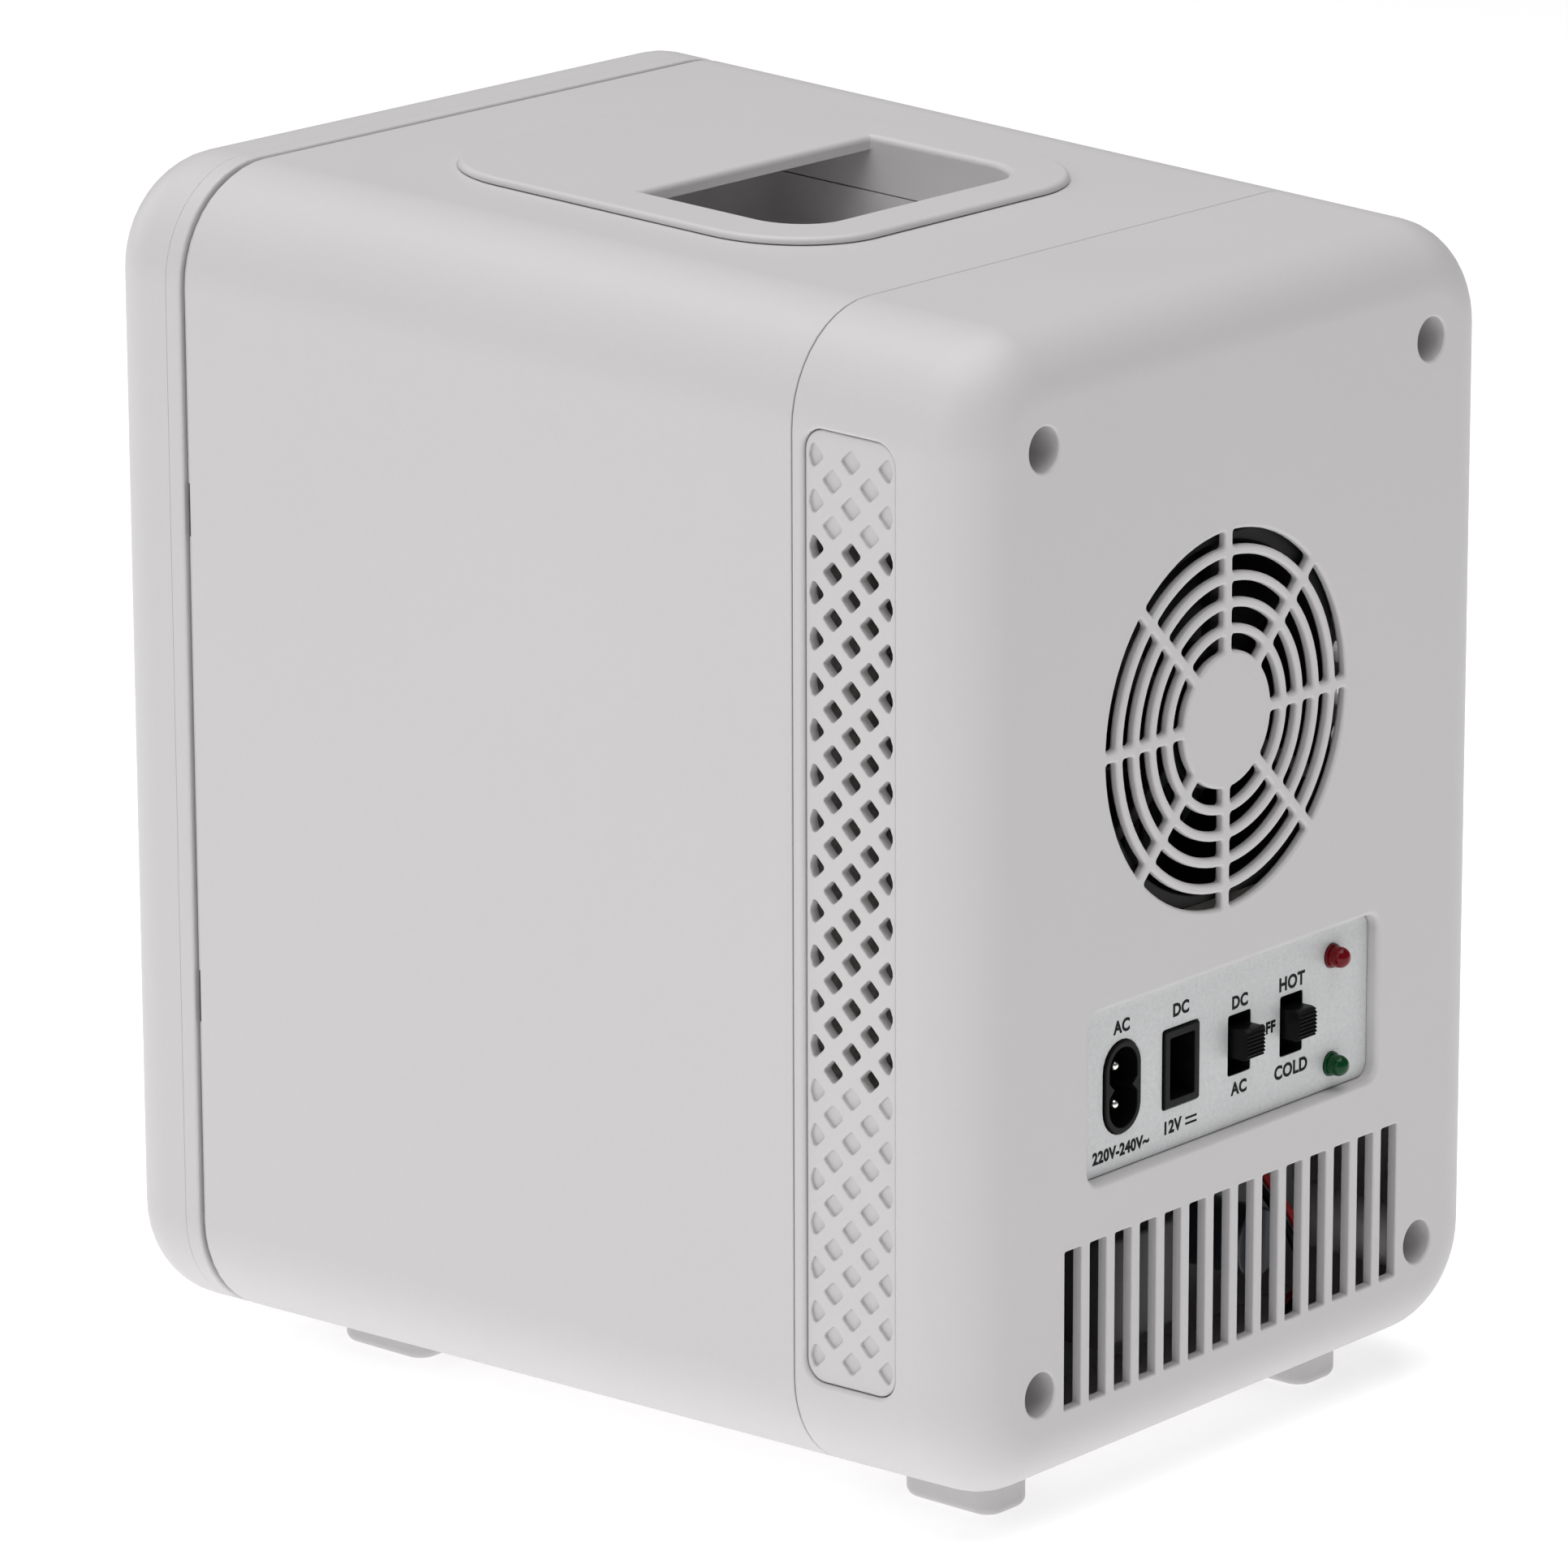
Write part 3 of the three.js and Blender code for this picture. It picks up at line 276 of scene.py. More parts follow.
def rim(face, outline, edge, depth, side=1, steps=4, start=0.0, flare=0.0):
    """A quarter round of radius edge and then a straight wall down to depth, carried along an outline.
    Offset is side * edge * (cos t - 1) and depth is edge * (1 - sin t), t from 90 to 0 degrees.
    Side is 1 round a raised piece and -1 round a hole. A flare widens a hole's lower half by that much."""
    points, normals = outline
    turn = np.radians(np.linspace(90, 0, steps + 1)) if edge > 0 else np.zeros(1)
    shift = np.append(side * edge * (np.cos(turn) - 1), 0)
    down = np.append(edge * (1 - np.sin(turn)), depth) + start
    aside = np.append(side * np.cos(turn), side)
    upward = np.append(np.sin(turn) if edge > 0 else 0, 0)
    if flare:
        middle = (down[-2] + down[-1]) / 2
        slope = math.atan2(flare, down[-1] - middle)
        shift, down = np.append(shift, flare), np.append(np.append(down[:-1], middle), down[-1])
        aside = np.append(aside, side * math.cos(slope))
        upward = np.append(upward, -math.sin(slope))
    flat = points[:, None] + shift[None, :, None] * normals[:, None]
    places = face.at(flat, np.broadcast_to(down, flat.shape[:2]))
    lean = face.turn(normals[:, None] * aside[None, :, None], np.broadcast_to(upward, flat.shape[:2]))
    return sheet(places, lean)


def slab(face, outline, depth, edge=0.2, holes=(), steps=4):
    """A plate under a face: its rounded front edge and openings, its sides and its back."""
    parts = [patch(face, offset(outline, -edge), [offset(h, edge) for h in holes])]
    parts.append(rim(face, outline, edge, depth, 1, steps))
    parts += [rim(face, h, edge, depth, -1, steps) for h in holes]
    parts.append(patch(face, outline, holes, depth, -1))
    return parts


def line(a, b, normal):
    """A straight run of a profile: its ends and their normal."""
    return np.array([a, b], float), np.array([normal, normal], float)


def arc(centre, radius, start, end, steps=8, side=1):
    """A run of a profile along an arc, in degrees: centre + radius * (cos t, sin t).
    Side -1 turns its normals in."""
    turn = np.radians(np.linspace(start, end, steps + 1))
    ray = np.stack([np.cos(turn), np.sin(turn)], -1)
    return np.asarray(centre) + radius * ray, side * ray


def joined(*runs):
    """Runs that meet smoothly, as one."""
    points = [runs[0][0]] + [p[1:] for p, _ in runs[1:]]
    normals = [runs[0][1]] + [n[1:] for _, n in runs[1:]]
    return np.concatenate(points), np.concatenate(normals)


def carried(outline, profile, skip=()):
    """A profile of (offset, Y) carried round an outline in X and Z: point + offset * normal, at that Y."""
    (points, normals), (path, lean) = outline, profile
    flat = points[:, None] + path[None, :, :1] * normals[:, None]
    places = np.stack([flat[..., 0], np.broadcast_to(path[:, 1], flat.shape[:2]), flat[..., 1]], -1)
    aside = normals[:, None] * lean[None, :, :1]
    turned = np.stack([aside[..., 0], np.broadcast_to(lean[:, 1], flat.shape[:2]), aside[..., 1]], -1)
    return sheet(places, turned, skip=skip)


def revolved(profile, origin, axis, steps=48):
    """A profile of (radius, height) turned about an axis: origin + height * axis + radius * its ray."""
    path, lean = profile
    axis = np.asarray(axis, float)
    side = np.array([axis[2], axis[0], axis[1]])
    other = np.cross(axis, side)
    turn = np.arange(steps) * 2 * np.pi / steps
    ray = np.cos(turn)[:, None] * side + np.sin(turn)[:, None] * other
    places = np.asarray(origin) + path[None, :, :1] * ray[:, None] + path[None, :, 1:] * axis
    return sheet(places, lean[None, :, :1] * ray[:, None] + lean[None, :, 1:] * axis)


def widened(part):
    """Spreads a straight cabinet piece towards the door: X grows with the half width at its Y, and Z runs
    from the bottom to the top at its Y. Normals are turned by the inverse transpose of that map."""
    points, normals, faces = part
    x, y, z = points.T
    wide = (WIDTH_ZERO + WIDTH_SLOPE * y) / HALF
    low = BOTTOM_ZERO + BOTTOM_SLOPE * y
    tall = (TOP_ZERO + TOP_SLOPE * y - low) / (TOP - BOTTOM)
    places = np.stack([x * wide, y, low + (z - BOTTOM) * tall], -1)
    nx = normals[:, 0] / wide
    nz = normals[:, 2] / tall
    growth = BOTTOM_SLOPE + (z - BOTTOM) * (TOP_SLOPE - BOTTOM_SLOPE) / (TOP - BOTTOM)
    ny = normals[:, 1] - x * WIDTH_SLOPE / HALF * nx - growth * nz
    turned = np.stack([nx, ny, nz], -1)
    return places, turned / np.linalg.norm(turned, axis=1, keepdims=True), faces


def true_places(points, y):
    """The true X and Z, at a Y, of points of a straight cabinet piece."""
    flat = np.stack([points[:, 0], np.full(len(points), y), points[:, 1]], -1)
    return widened((flat, np.tile(Y_AXIS, (len(points), 1)), None))[0][:, [0, 2]]


def outline_at(y, inset):
    """The cabinet's true outline at a Y, its corners and sides moved in by an inset."""
    points, normals = offset(cabinet_outline(), -inset)
    return true_places(points, y), normals


# ---------------------------------------------------------------- pieces
def shown(name, mesh, finish, body, nodes=()):
    """Puts a mesh in the scene with its finish; it rides on a body and stands for CAD nodes."""
    mesh.materials.clear()
    mesh.materials.append(finish)
    made = bpy.data.objects.new(name, mesh)
    bpy.context.scene.collection.objects.link(made)
    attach(made, body)
    if nodes:
        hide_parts(*nodes)


def piece(name, parts, body, finish, slot, nodes=()):
    """One mesh of all the parts, in metres, with their own normals."""
    start = np.cumsum([0] + [len(p[0]) for p in parts])
    places = np.concatenate([p[0] for p in parts]) * MM
    normals = np.concatenate([p[1] for p in parts])
    faces = [p[2] + s for p, s in zip(parts, start)]
    mesh = bpy.data.meshes.new(name)
    counts = np.concatenate([np.full(len(f), f.shape[1]) for f in faces])
    corners = np.concatenate([f.ravel() for f in faces]).astype(np.int32)
    mesh.vertices.add(len(places))
    mesh.vertices.foreach_set("co", places.astype(np.float32).ravel())
    mesh.loops.add(len(corners))
    mesh.loops.foreach_set("vertex_index", corners)
    mesh.polygons.add(len(counts))
    mesh.polygons.foreach_set("loop_start", np.cumsum(np.append(0, counts[:-1])).astype(np.int32))
    mesh.update(calc_edges=True)
    mesh.polygons.foreach_set("use_smooth", np.ones(len(counts), bool))
    lengths = np.linalg.norm(normals, axis=1, keepdims=True)
    mesh.normals_split_custom_set_from_vertices((normals / np.where(lengths == 0, 1, lengths)).tolist())
    shown(name, mesh, finish, body, nodes)


DOOR_NODES = ("door_rack", "catch_magnet_lower", "catch_magnet_upper")


def softened(node, finish, width=0.3, segments=2):
    """A copy of a CAD node, merged, with its flat areas joined and its sharp edges rounded."""
    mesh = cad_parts[node].data.copy()
    mesh.name = "rounded_" + node
    work = bmesh.new()
    work.from_mesh(mesh)
    bmesh.ops.remove_doubles(work, verts=work.verts, dist=1e-6)
    bmesh.ops.dissolve_limit(work, angle_limit=math.radians(1), verts=work.verts, edges=work.edges)
    sharp = [e for e in work.edges if len(e.link_faces) == 2 and e.calc_face_angle(0) > math.radians(40)]
    bmesh.ops.bevel(
        work,
        geom=sharp,
        offset=width * MM,
        offset_type="OFFSET",
        segments=segments,
        profile=0.5,
        affect="EDGES",
        clamp_overlap=True,
    )
    bmesh.ops.triangulate(work, faces=work.faces)
    if "custom_normal" in mesh.attributes:
        mesh.attributes.remove(mesh.attributes["custom_normal"])
    work.to_mesh(mesh)
    work.free()
    mesh.shade_smooth()
    mesh.set_sharp_from_angle(angle=math.radians(34))
    shown("rounded_" + node, mesh, finish, "door" if node in DOOR_NODES else "cabinet", [node])


def dress(finish, *nodes):
    """Gives CAD nodes that stay as they are a finish."""
    for node in nodes:
        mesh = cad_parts[node].data
        mesh.materials.clear()
        mesh.materials.append(finish)


# ---------------------------------------------------------------- finishes
def put(tree, kind, links=(), operation=None, **values):
    """A new shader node with its operation, its constant values and its links.
    A link is an output and the name or the number of an input."""
    made = tree.nodes.new("ShaderNode" + kind)
    if operation:
        made.operation = operation
    for label, value in values.items():
        made.inputs[label.replace("_", " ")].default_value = value
    for source, target in links:
        tree.links.new(source, made.inputs[target])
    return made


def moulded_surface():
    """Fine spark-eroded grain and slow flow marks of a moulded part, with a slight drift of tone.
    Tone is 0.99 + drift * (slow noise + speckle); roughness is the given one + 0.06 * slow noise."""
    if "Moulded surface" in bpy.data.node_groups:
        return bpy.data.node_groups["Moulded surface"]
    group = bpy.data.node_groups.new("Moulded surface", "ShaderNodeTree")
    for name, kind, value in (
        ("Colour", "Color", (0.8, 0.8, 0.8, 1)),
        ("Roughness", "Float", 0.4),
        ("Grain", "Float", 0.05),
        ("Drift", "Float", 0.02),
    ):
        socket = group.interface.new_socket(name=name, in_out="INPUT", socket_type="NodeSocket" + kind)
        socket.default_value = value
    for name, kind in (("Colour", "Color"), ("Roughness", "Float"), ("Normal", "Vector")):
        group.interface.new_socket(name=name, in_out="OUTPUT", socket_type="NodeSocket" + kind)
    given, result = group.nodes.new("NodeGroupInput").outputs, group.nodes.new("NodeGroupOutput").inputs
    place = put(group, "TexCoord").outputs["Object"]
    fine, speckle, slow = (
        put(group, "TexNoise", [(place, "Vector")], Scale=scale, Detail=detail).outputs["Fac"]
        for scale, detail in ((2600, 2), (900, 3), (14, 2))
    )
    height = put(group, "Math", [(fine, 0), (speckle, 1)], "ADD").outputs[0]
    bump = put(group, "Bump", [(height, "Height"), (given["Grain"], "Strength")], Distance=0.00006)
    tone = put(group, "Math", [(slow, 0), (given["Drift"], 1)], "MULTIPLY_ADD")
    tone.inputs[2].default_value = 0.99
    grains = put(group, "Math", [(speckle, 0), (given["Drift"], 1), (tone.outputs[0], 2)], "MULTIPLY_ADD")
    shade = put(group, "VectorMath", [(given["Colour"], 0), (grains.outputs[0], "Scale")], "SCALE")
    rough = put(group, "Math", [(slow, 0), (given["Roughness"], 2)], "MULTIPLY_ADD")
    rough.inputs[1].default_value = 0.06
    group.links.new(shade.outputs[0], result["Colour"])
    group.links.new(rough.outputs[0], result["Roughness"])
    group.links.new(bump.outputs["Normal"], result["Normal"])
    return group


def new_material(name, **shader):
    """A material's node tree and its Principled inputs, with constants set on the shader itself."""
    made = bpy.data.materials.new(name)
    made.use_nodes = True
    inputs = made.node_tree.nodes["Principled BSDF"].inputs
    for label, value in shader.items():
        inputs[label.replace("_", " ")].default_value = value
    return made, made.node_tree, inputs


def finish(name, colour, roughness=0.4, grain=0.1, drift=0.02, **shader):
    """A moulded or drawn finish: the shared surface group feeds a shader that has constant extras."""
    if name in bpy.data.materials:
        return bpy.data.materials[name]
    made, tree, inputs = new_material(name, **shader)
    surface = put(tree, "Group")
    surface.node_tree = moulded_surface()
    values = {"Colour": (*colour, 1), "Roughness": roughness, "Grain": grain, "Drift": drift}
    for label, value in values.items():
        surface.inputs[label].default_value = value
    tree.links.new(surface.outputs["Colour"], inputs["Base Color"])
    tree.links.new(surface.outputs["Roughness"], inputs["Roughness"])
    tree.links.new(surface.outputs["Normal"], inputs["Normal"])
    return made


def casing():
    return finish("Casing plastic", colours().casing, 0.42, 0.16, 0.03)


def inner_white():
    return finish("Inside plastic", colours().inside, 0.3, 0.08, 0.02)


def black():
    return finish("Black plastic", colours().black, 0.28, 0.3, 0.2, Specular_IOR_Level=0.1)


def deep_black():
    return finish("Fan plastic", (0.004, 0.004, 0.0045), 0.55, 0.2, 0.2, Specular_IOR_Level=0.25)


def steel():
    return finish("Plated steel", (0.6, 0.61, 0.62), 0.3, 0.1, 0.06, Metallic=1.0)


def aluminium():
    return finish("Bare aluminium", (0.7, 0.71, 0.72), 0.36, 0.3, 0.08, Metallic=1.0)


def bright_pin():
    return finish("Nickel pin", (0.85, 0.84, 0.8), 0.16, 0.05, 0.02, Metallic=1.0)


def foam():
    """Expanded beads: Voronoi cells dent the surface and shade its joints."""
    made, tree, inputs = new_material("Bead foam", Roughness=0.9)
    place = put(tree, "TexCoord").outputs["Object"]
    cells = put(tree, "TexVoronoi", [(place, "Vector")], Scale=320).outputs["Distance"]
    ramp = put(tree, "ValToRGB", [(cells, "Fac")])
    ramp.color_ramp.elements[0].color = (0.88, 0.87, 0.84, 1)
    ramp.color_ramp.elements[1].color = (0.7, 0.69, 0.65, 1)
    bump = put(tree, "Bump", [(cells, "Height")], Distance=0.0004)
    bump.invert = True
    tree.links.new(ramp.outputs["Color"], inputs["Base Color"])
    tree.links.new(bump.outputs["Normal"], inputs["Normal"])
    return made


def sparkle():
    """Silver lacquer: a mottle between two tones of the plate's colour, with faint flakes laid over it."""
    made, tree, inputs = new_material("Silver lacquer", Roughness=0.5, Metallic=0.12)
    place = put(tree, "TexCoord").outputs["Object"]
    flakes = put(tree, "TexVoronoi", [(place, "Vector")], Scale=3200)
    mottle = put(tree, "TexNoise", [(place, "Vector")], Scale=700, Detail=4).outputs["Fac"]
    darker, lighter = ((*(share * c for c in colours().silver), 1) for share in (0.9, 1.12))
    mix, tone = put(tree, "Mix"), put(tree, "Mix")
    mix.data_type = tone.data_type = "RGBA"
    mix.inputs["A"].default_value, mix.inputs["B"].default_value = darker, lighter
    tone.blend_type = "OVERLAY"
    tone.inputs["Factor"].default_value = 0.16
    tree.links.new(mottle, mix.inputs["Factor"])
    tree.links.new(mix.outputs["Result"], tone.inputs["A"])
    tree.links.new(flakes.outputs["Color"], tone.inputs["B"])
    grey = put(tree, "HueSaturation", [(tone.outputs["Result"], "Color")], Saturation=0.35)
    bump = put(tree, "Bump", [(mottle, "Height")], Distance=0.00002, Strength=0.5)
    tree.links.new(grey.outputs["Color"], inputs["Base Color"])
    tree.links.new(bump.outputs["Normal"], inputs["Normal"])
    return made


# ---------------------------------------------------------------- cabinet shells
CORNER_TICKS = np.concatenate([[0], np.linspace(8, 82, 10), [90]])
PER_CORNER = len(CORNER_TICKS)
TAIL = math.radians(CORNER_TICKS[1])
RIGHT_ROWS = [PER_CORNER - 2, PER_CORNER - 1, PER_CORNER]
TOP_ROWS = [2 * PER_CORNER - 1]
LEFT_ROWS = [3 * PER_CORNER - 2, 3 * PER_CORNER - 1, 3 * PER_CORNER]


def cabinet_outline():
    """The cabinet's outline at the back plane, before it is widened."""
    return corner_outline((0, (TOP + BOTTOM) / 2), HALF, (TOP - BOTTOM) / 2, sizes().corner, CORNER_TICKS)


class SideSurface(Face):
    """The cabinet's side, flat between its corners and running a little way round them, sunk by an inset."""

    def __init__(self, side, inset=0.0):
        super().__init__((0, 0, 0), Y_AXIS, Z_AXIS, side * X_AXIS)
        self.side, self.inset = side, inset
        self.radius = sizes().corner - inset
        self.low, self.high = BOTTOM + sizes().corner, TOP - sizes().corner

    def beyond(self, z):
        return np.maximum(z - self.high, 0) + np.minimum(z - self.low, 0)

    def at(self, points, depth=0.0):
        y, z = points[..., 0], points[..., 1]
        drop = self.radius - np.sqrt(self.radius**2 - self.beyond(z) ** 2)
        x = self.side * (HALF - self.inset - drop - depth)
        return np.stack([x, y, z], -1)

    def limits(self, y0, y1):
        """Its outline between two Ys, with a corner wherever the neighbouring surface has one."""
        reach = self.radius * math.sin(TAIL)
        z = [self.low - reach, self.low, self.high, self.high + reach]
        places = [(y0, 0), (y1, 0), (y1, 1), (y1, 2), (y1, 3), (y0, 3), (y0, 2), (y0, 1)]
        return np.array([(y, z[i]) for y, i in places])


def curved_patch(surface, loops, out):
    """An area of the side, with its normals turned round the ends of the corners."""
    corners, faces = triangles(loops)
    lean = np.clip(surface.beyond(corners[:, 1]) / surface.radius, -1, 1)
    normals = np.stack([surface.side * np.sqrt(1 - lean**2), np.zeros(len(lean)), lean], -1) * out
    return facing(surface.at(corners), normals, faces)


def side_patch(side, inset, y0, y1, holes, out):
    """Part of the side between two Ys."""
    surface = SideSurface(side, inset)
    return curved_patch(surface, [surface.limits(y0, y1), *(h[0] for h in holes)], out)


def shell_ends(y, towards, edge):
    """Profile runs at a shell's open end: the outer edge's quarter round and the end face."""
    start, end = (0, 90) if towards > 0 else (0, -90)
    bend = arc((-edge, y - towards * edge), edge, start, end, 4)
    return bend, line((-edge, y), (-WALL, y), (0, towards))


VENT_CENTRE = BACK_Y - 31.6, 136.9
VENT_INSET = 0.8  # the lattice's face lies this far under the side
VENT_PITCH, VENT_ROWS, VENT_HALF, VENT_OPENING = 9.71, 41, 10.9, 3.9


def vent_window():
    return round_rect(24.2, 205.8, 5, VENT_CENTRE, 8)


def grille_openings():
    """Forty openings in five rings between eight spokes. A rounded rectangle (u, v) is bent round the middle:
    radius = middle + v, angle = sector middle + u times the half angle left by the spokes at that radius."""
    _, _, middle_x, middle_z = placed("fan_frame")
    hub, width, count, spoke, outer = 15.0, 3.57, 5, 2.5, 41.3
    bar = (outer - hub - count * width) / (count - 1)
    loops = []
    for ring in range(count):
        inner = hub + ring * (width + bar)
        half = (inner + width / 2) * math.pi / 8 - spoke / 2
        flat, _ = round_rect(2 * half, width, 0.75, steps=4, along=8)
        radius = inner + width / 2 - flat[:, 1]
        share = flat[:, 0] / half
        spread = math.pi / 8 - np.arcsin(spoke / 2 / radius)
        for sector in range(8):
            angle = (sector + 0.5) * math.pi / 4 + share * spread
            bent = [middle_x + radius * np.cos(angle), middle_z + radius * np.sin(angle)]
            loops.append(with_normals(np.stack(bent, -1)))
    return loops


SLOT_COUNT, SLOT_PITCH, SLOT_WIDTH, SLOT_HEIGHT, SLOT_Z = 14, 8.52, 5.7, 35.3, 45.4
SCREW_X, SCREW_Z, SCREW_HOLE = 66.3, (33.5, 238.3), 4.9
PLATE_LOW, PLATE_HIGH = span("control_plate")
CONTROL_X, CONTROL_Z = (PLATE_LOW[0] + PLATE_HIGH[0]) / 2, (PLATE_LOW[2] + PLATE_HIGH[2]) / 2
CONTROL_SIZE = PLATE_HIGH[0] - PLATE_LOW[0] + 1, PLATE_HIGH[2] - PLATE_LOW[2] + 1
RECESS_DEPTH = 4.0
SWITCH_BODIES = ("power_switch_body", "mode_switch_body")
PLATE_FACE_Y = PLATE_HIGH[1]
SOCKET_Z = 93.7


def slot_openings():
    centres = (np.arange(SLOT_COUNT) - (SLOT_COUNT - 1) / 2) * SLOT_PITCH
    return [round_rect(SLOT_WIDTH, SLOT_HEIGHT, 0.35, (x, SLOT_Z), 2) for x in centres]


def window(node, radius, grow=0.3):
    """The opening in the control plate round an inlet."""
    low, high, x, z = placed(node)
    return round_rect(high[0] - low[0] + 2 * grow, high[2] - low[2] + 2 * grow, radius, (x, z), 6)


def switch_window(node):
    return round_rect(8, 13.6, 0.6, (placed(node)[2], SOCKET_Z), 4)


def control_windows():
    inlets = [window("ac_inlet", 6.3), window("dc_socket", 0.8)]
    switches = [switch_window(node) for node in SWITCH_BODIES]
    return inlets + switches + [circle(2.75, placed(node)[2:], 32) for node in ("led_red", "led_green")]


def back_housing():
    s = sizes()
    outline = cabinet_outline()
    r, y_seam = s.back_round, HOUSING_LOW[1]
    face = back_face(BACK_Y)
    bend, end = shell_ends(y_seam, -1, s.seam)
    straight_back = BACK_Y - r
    sides = RIGHT_ROWS + LEFT_ROWS
    parts = [
        carried(outline, arc((-r, BACK_Y - r), r, 90, 0, 14)),
        carried(outline, line((0, straight_back), (0, y_seam + s.seam), (1, 0)), sides),
        carried(outline, bend),
        carried(outline, end),
        carried(outline, line((-WALL, y_seam), (-WALL, straight_back), (-1, 0)), sides),
        carried(outline, arc((-r, BACK_Y - r), r - WALL, 0, 90, 8, -1)),
    ]
    hole = vent_window()
    for side in (-1, 1):
        parts.append(side_patch(side, 0.0, y_seam + s.seam, straight_back, [offset(hole, 0.8)], 1))
        parts.append(side_patch(side, WALL, y_seam, straight_back, [hole], -1))
        parts.append(rim(SideSurface(side), hole, 0.8, WALL, -1, 6))
    parts = [widened(p) for p in parts]

    edge = s.opening_edge
    slots, grille = slot_openings(), grille_openings()
    recess = round_rect(*CONTROL_SIZE, 3.5, (CONTROL_X, CONTROL_Z), 8)
    backing = round_rect(CONTROL_SIZE[0] + 4, CONTROL_SIZE[1] + 4, 1, (CONTROL_X, CONTROL_Z), 2)
    bores = [circle(SCREW_HOLE, (x, z), 40) for x in (-SCREW_X, SCREW_X) for z in SCREW_Z]
    tubes = [offset(b, 2.0) for b in bores]
    flat = offset(outline, -r)
    bar_edge, flare = s.bar_edge, 0.45
    outer_holes = [offset(h, edge) for h in slots] + [offset(h, bar_edge) for h in grille]
    outer_holes += [offset(recess, 1.3)] + [offset(b, 0.6) for b in bores]
    parts.append(patch(face, flat, outer_holes))
    parts.append(patch(face, flat, slots + [offset(h, flare) for h in grille] + [backing] + tubes, WALL, -1))
    parts += [rim(face, h, edge, WALL, -1) for h in slots]
    parts += [rim(face, h, bar_edge, WALL, -1, 6, flare=flare) for h in grille]
    tube_depth = BACK_Y - span("screw_lower_left")[1][1] + 2.4
    for bore, tube in zip(bores, tubes):
        parts.append(rim(face, bore, 0.6, tube_depth, -1))
        parts.append(patch(face, bore, (), tube_depth, 1))
        parts.append(rim(face, tube, 0, tube_depth + 2 - WALL, 1, start=WALL))
        parts.append(patch(face, tube, (), tube_depth + 2, -1))
    holes = control_windows()
    parts.append(rim(face, recess, 1.3, RECESS_DEPTH, -1, 8))
    parts.append(patch(face, recess, holes, RECESS_DEPTH, 1))
    parts += [rim(face, h, 0, 2, -1, start=RECESS_DEPTH) for h in holes]
    parts.append(patch(face, backing, holes, RECESS_DEPTH + 2, -1))
    parts.append(rim(face, backing, 0, RECESS_DEPTH + 2 - WALL, 1, start=WALL))
    return parts


RIB_INSET, RIB_HEIGHT = 1.2, 1.0  # a rib round the cabinet's mouth, which nearly closes the gap to the door
HINGE_REACH, HINGE_SHARE = 25, 0.1  # towards the hinge side the rib sinks to this share of its height


def lowered_rib(part):
    """Sinks the rib where the open door's edge comes close: height * a share that grows with X, clipped."""
    points, normals, *rest = part
    share = np.clip((points[..., 0] + HALF - WALL) / HINGE_REACH, HINGE_SHARE, 1)
    points = points.copy()
    points[..., 1] = SHELL_LOW[1] + (points[..., 1] - SHELL_LOW[1]) * share
    return (points, normals, *rest)


def body_shell():
    s = sizes()
    outline = cabinet_outline()
    y_front, y_seam = SHELL_LOW[1], SHELL_HIGH[1]
    y_rib = y_front - RIB_HEIGHT
    lip = 0.9
    front_bend, _ = shell_ends(y_front, -1, lip)
    seam_bend, seam_end = shell_ends(y_seam, 1, s.seam)
    parts = [
        carried(outline, line((0, y_front + lip), (0, y_seam - s.seam), (1, 0)), TOP_ROWS),
        carried(outline, front_bend),
        carried(outline, line((-lip, y_front), (-RIB_INSET, y_front), (0, -1))),
        lowered_rib(carried(outline, line((-RIB_INSET, y_front), (-RIB_INSET, y_rib), (1, 0)))),
        lowered_rib(carried(outline, line((-RIB_INSET, y_rib), (-WALL, y_rib), (0, -1)))),
        lowered_rib(carried(outline, line((-WALL, y_rib), (-WALL, y_front), (-1, 0)))),
        carried(outline, seam_bend),
        carried(outline, seam_end),
        carried(outline, line((-WALL, y_front), (-WALL, y_seam), (-1, 0)), TOP_ROWS),
    ]
    edge_x = HALF - s.corner
    top = Face((0, 0, TOP), X_AXIS, Y_AXIS, Z_AXIS)
    low, high = span("handle_cup")
    hole = round_rect(high[0] - low[0] + 0.6, high[1] - low[1] + 3, 14, (0, (low[1] + high[1]) / 2), 6)
    for inset, y0, y1, out in ((0.0, y_front + lip, y_seam - s.seam, 1), (WALL, y_front, y_seam, -1)):
        corners = np.array([(-edge_x, y0), (edge_x, y0), (edge_x, y1), (-edge_x, y1)])
        parts.append(patch(top, (corners, corners), [hole], inset, out))
    parts.append(rim(top, hole, 0, WALL, -1))
    return [widened(p) for p in parts]


# ---------------------------------------------------------------- side vents
def vent_openings():
    """Lattice of square openings on their corners, in rows of three and two; the outer ones are cut straight.
    Each comes with whether it goes right through: the rows at the two ends are only sunk."""
    first, last = 13, VENT_ROWS - 5
    base, _ = round_rect(VENT_OPENING, VENT_OPENING, 0.75, steps=3)
    turned = base @ (np.array([[1, 1], [-1, 1]]) / math.sqrt(2))
    loops = []
    for row in range(VENT_ROWS):
        rise = (row - (VENT_ROWS - 1) / 2) * VENT_PITCH / 2
        for place in (-0.5, 0.5) if row % 2 else (-1, 0, 1):
            loop = turned + (place * VENT_PITCH, 0)
            loop[:, 0] = np.clip(loop[:, 0], -VENT_HALF, VENT_HALF)
            kept = np.abs(np.diff(loop, axis=0, append=loop[:1])).sum(1) > 1e-3
            centre = VENT_CENTRE[0], VENT_CENTRE[1] + rise
            loops.append((with_normals(loop[kept] + centre), first <= row <= last))
    return loops


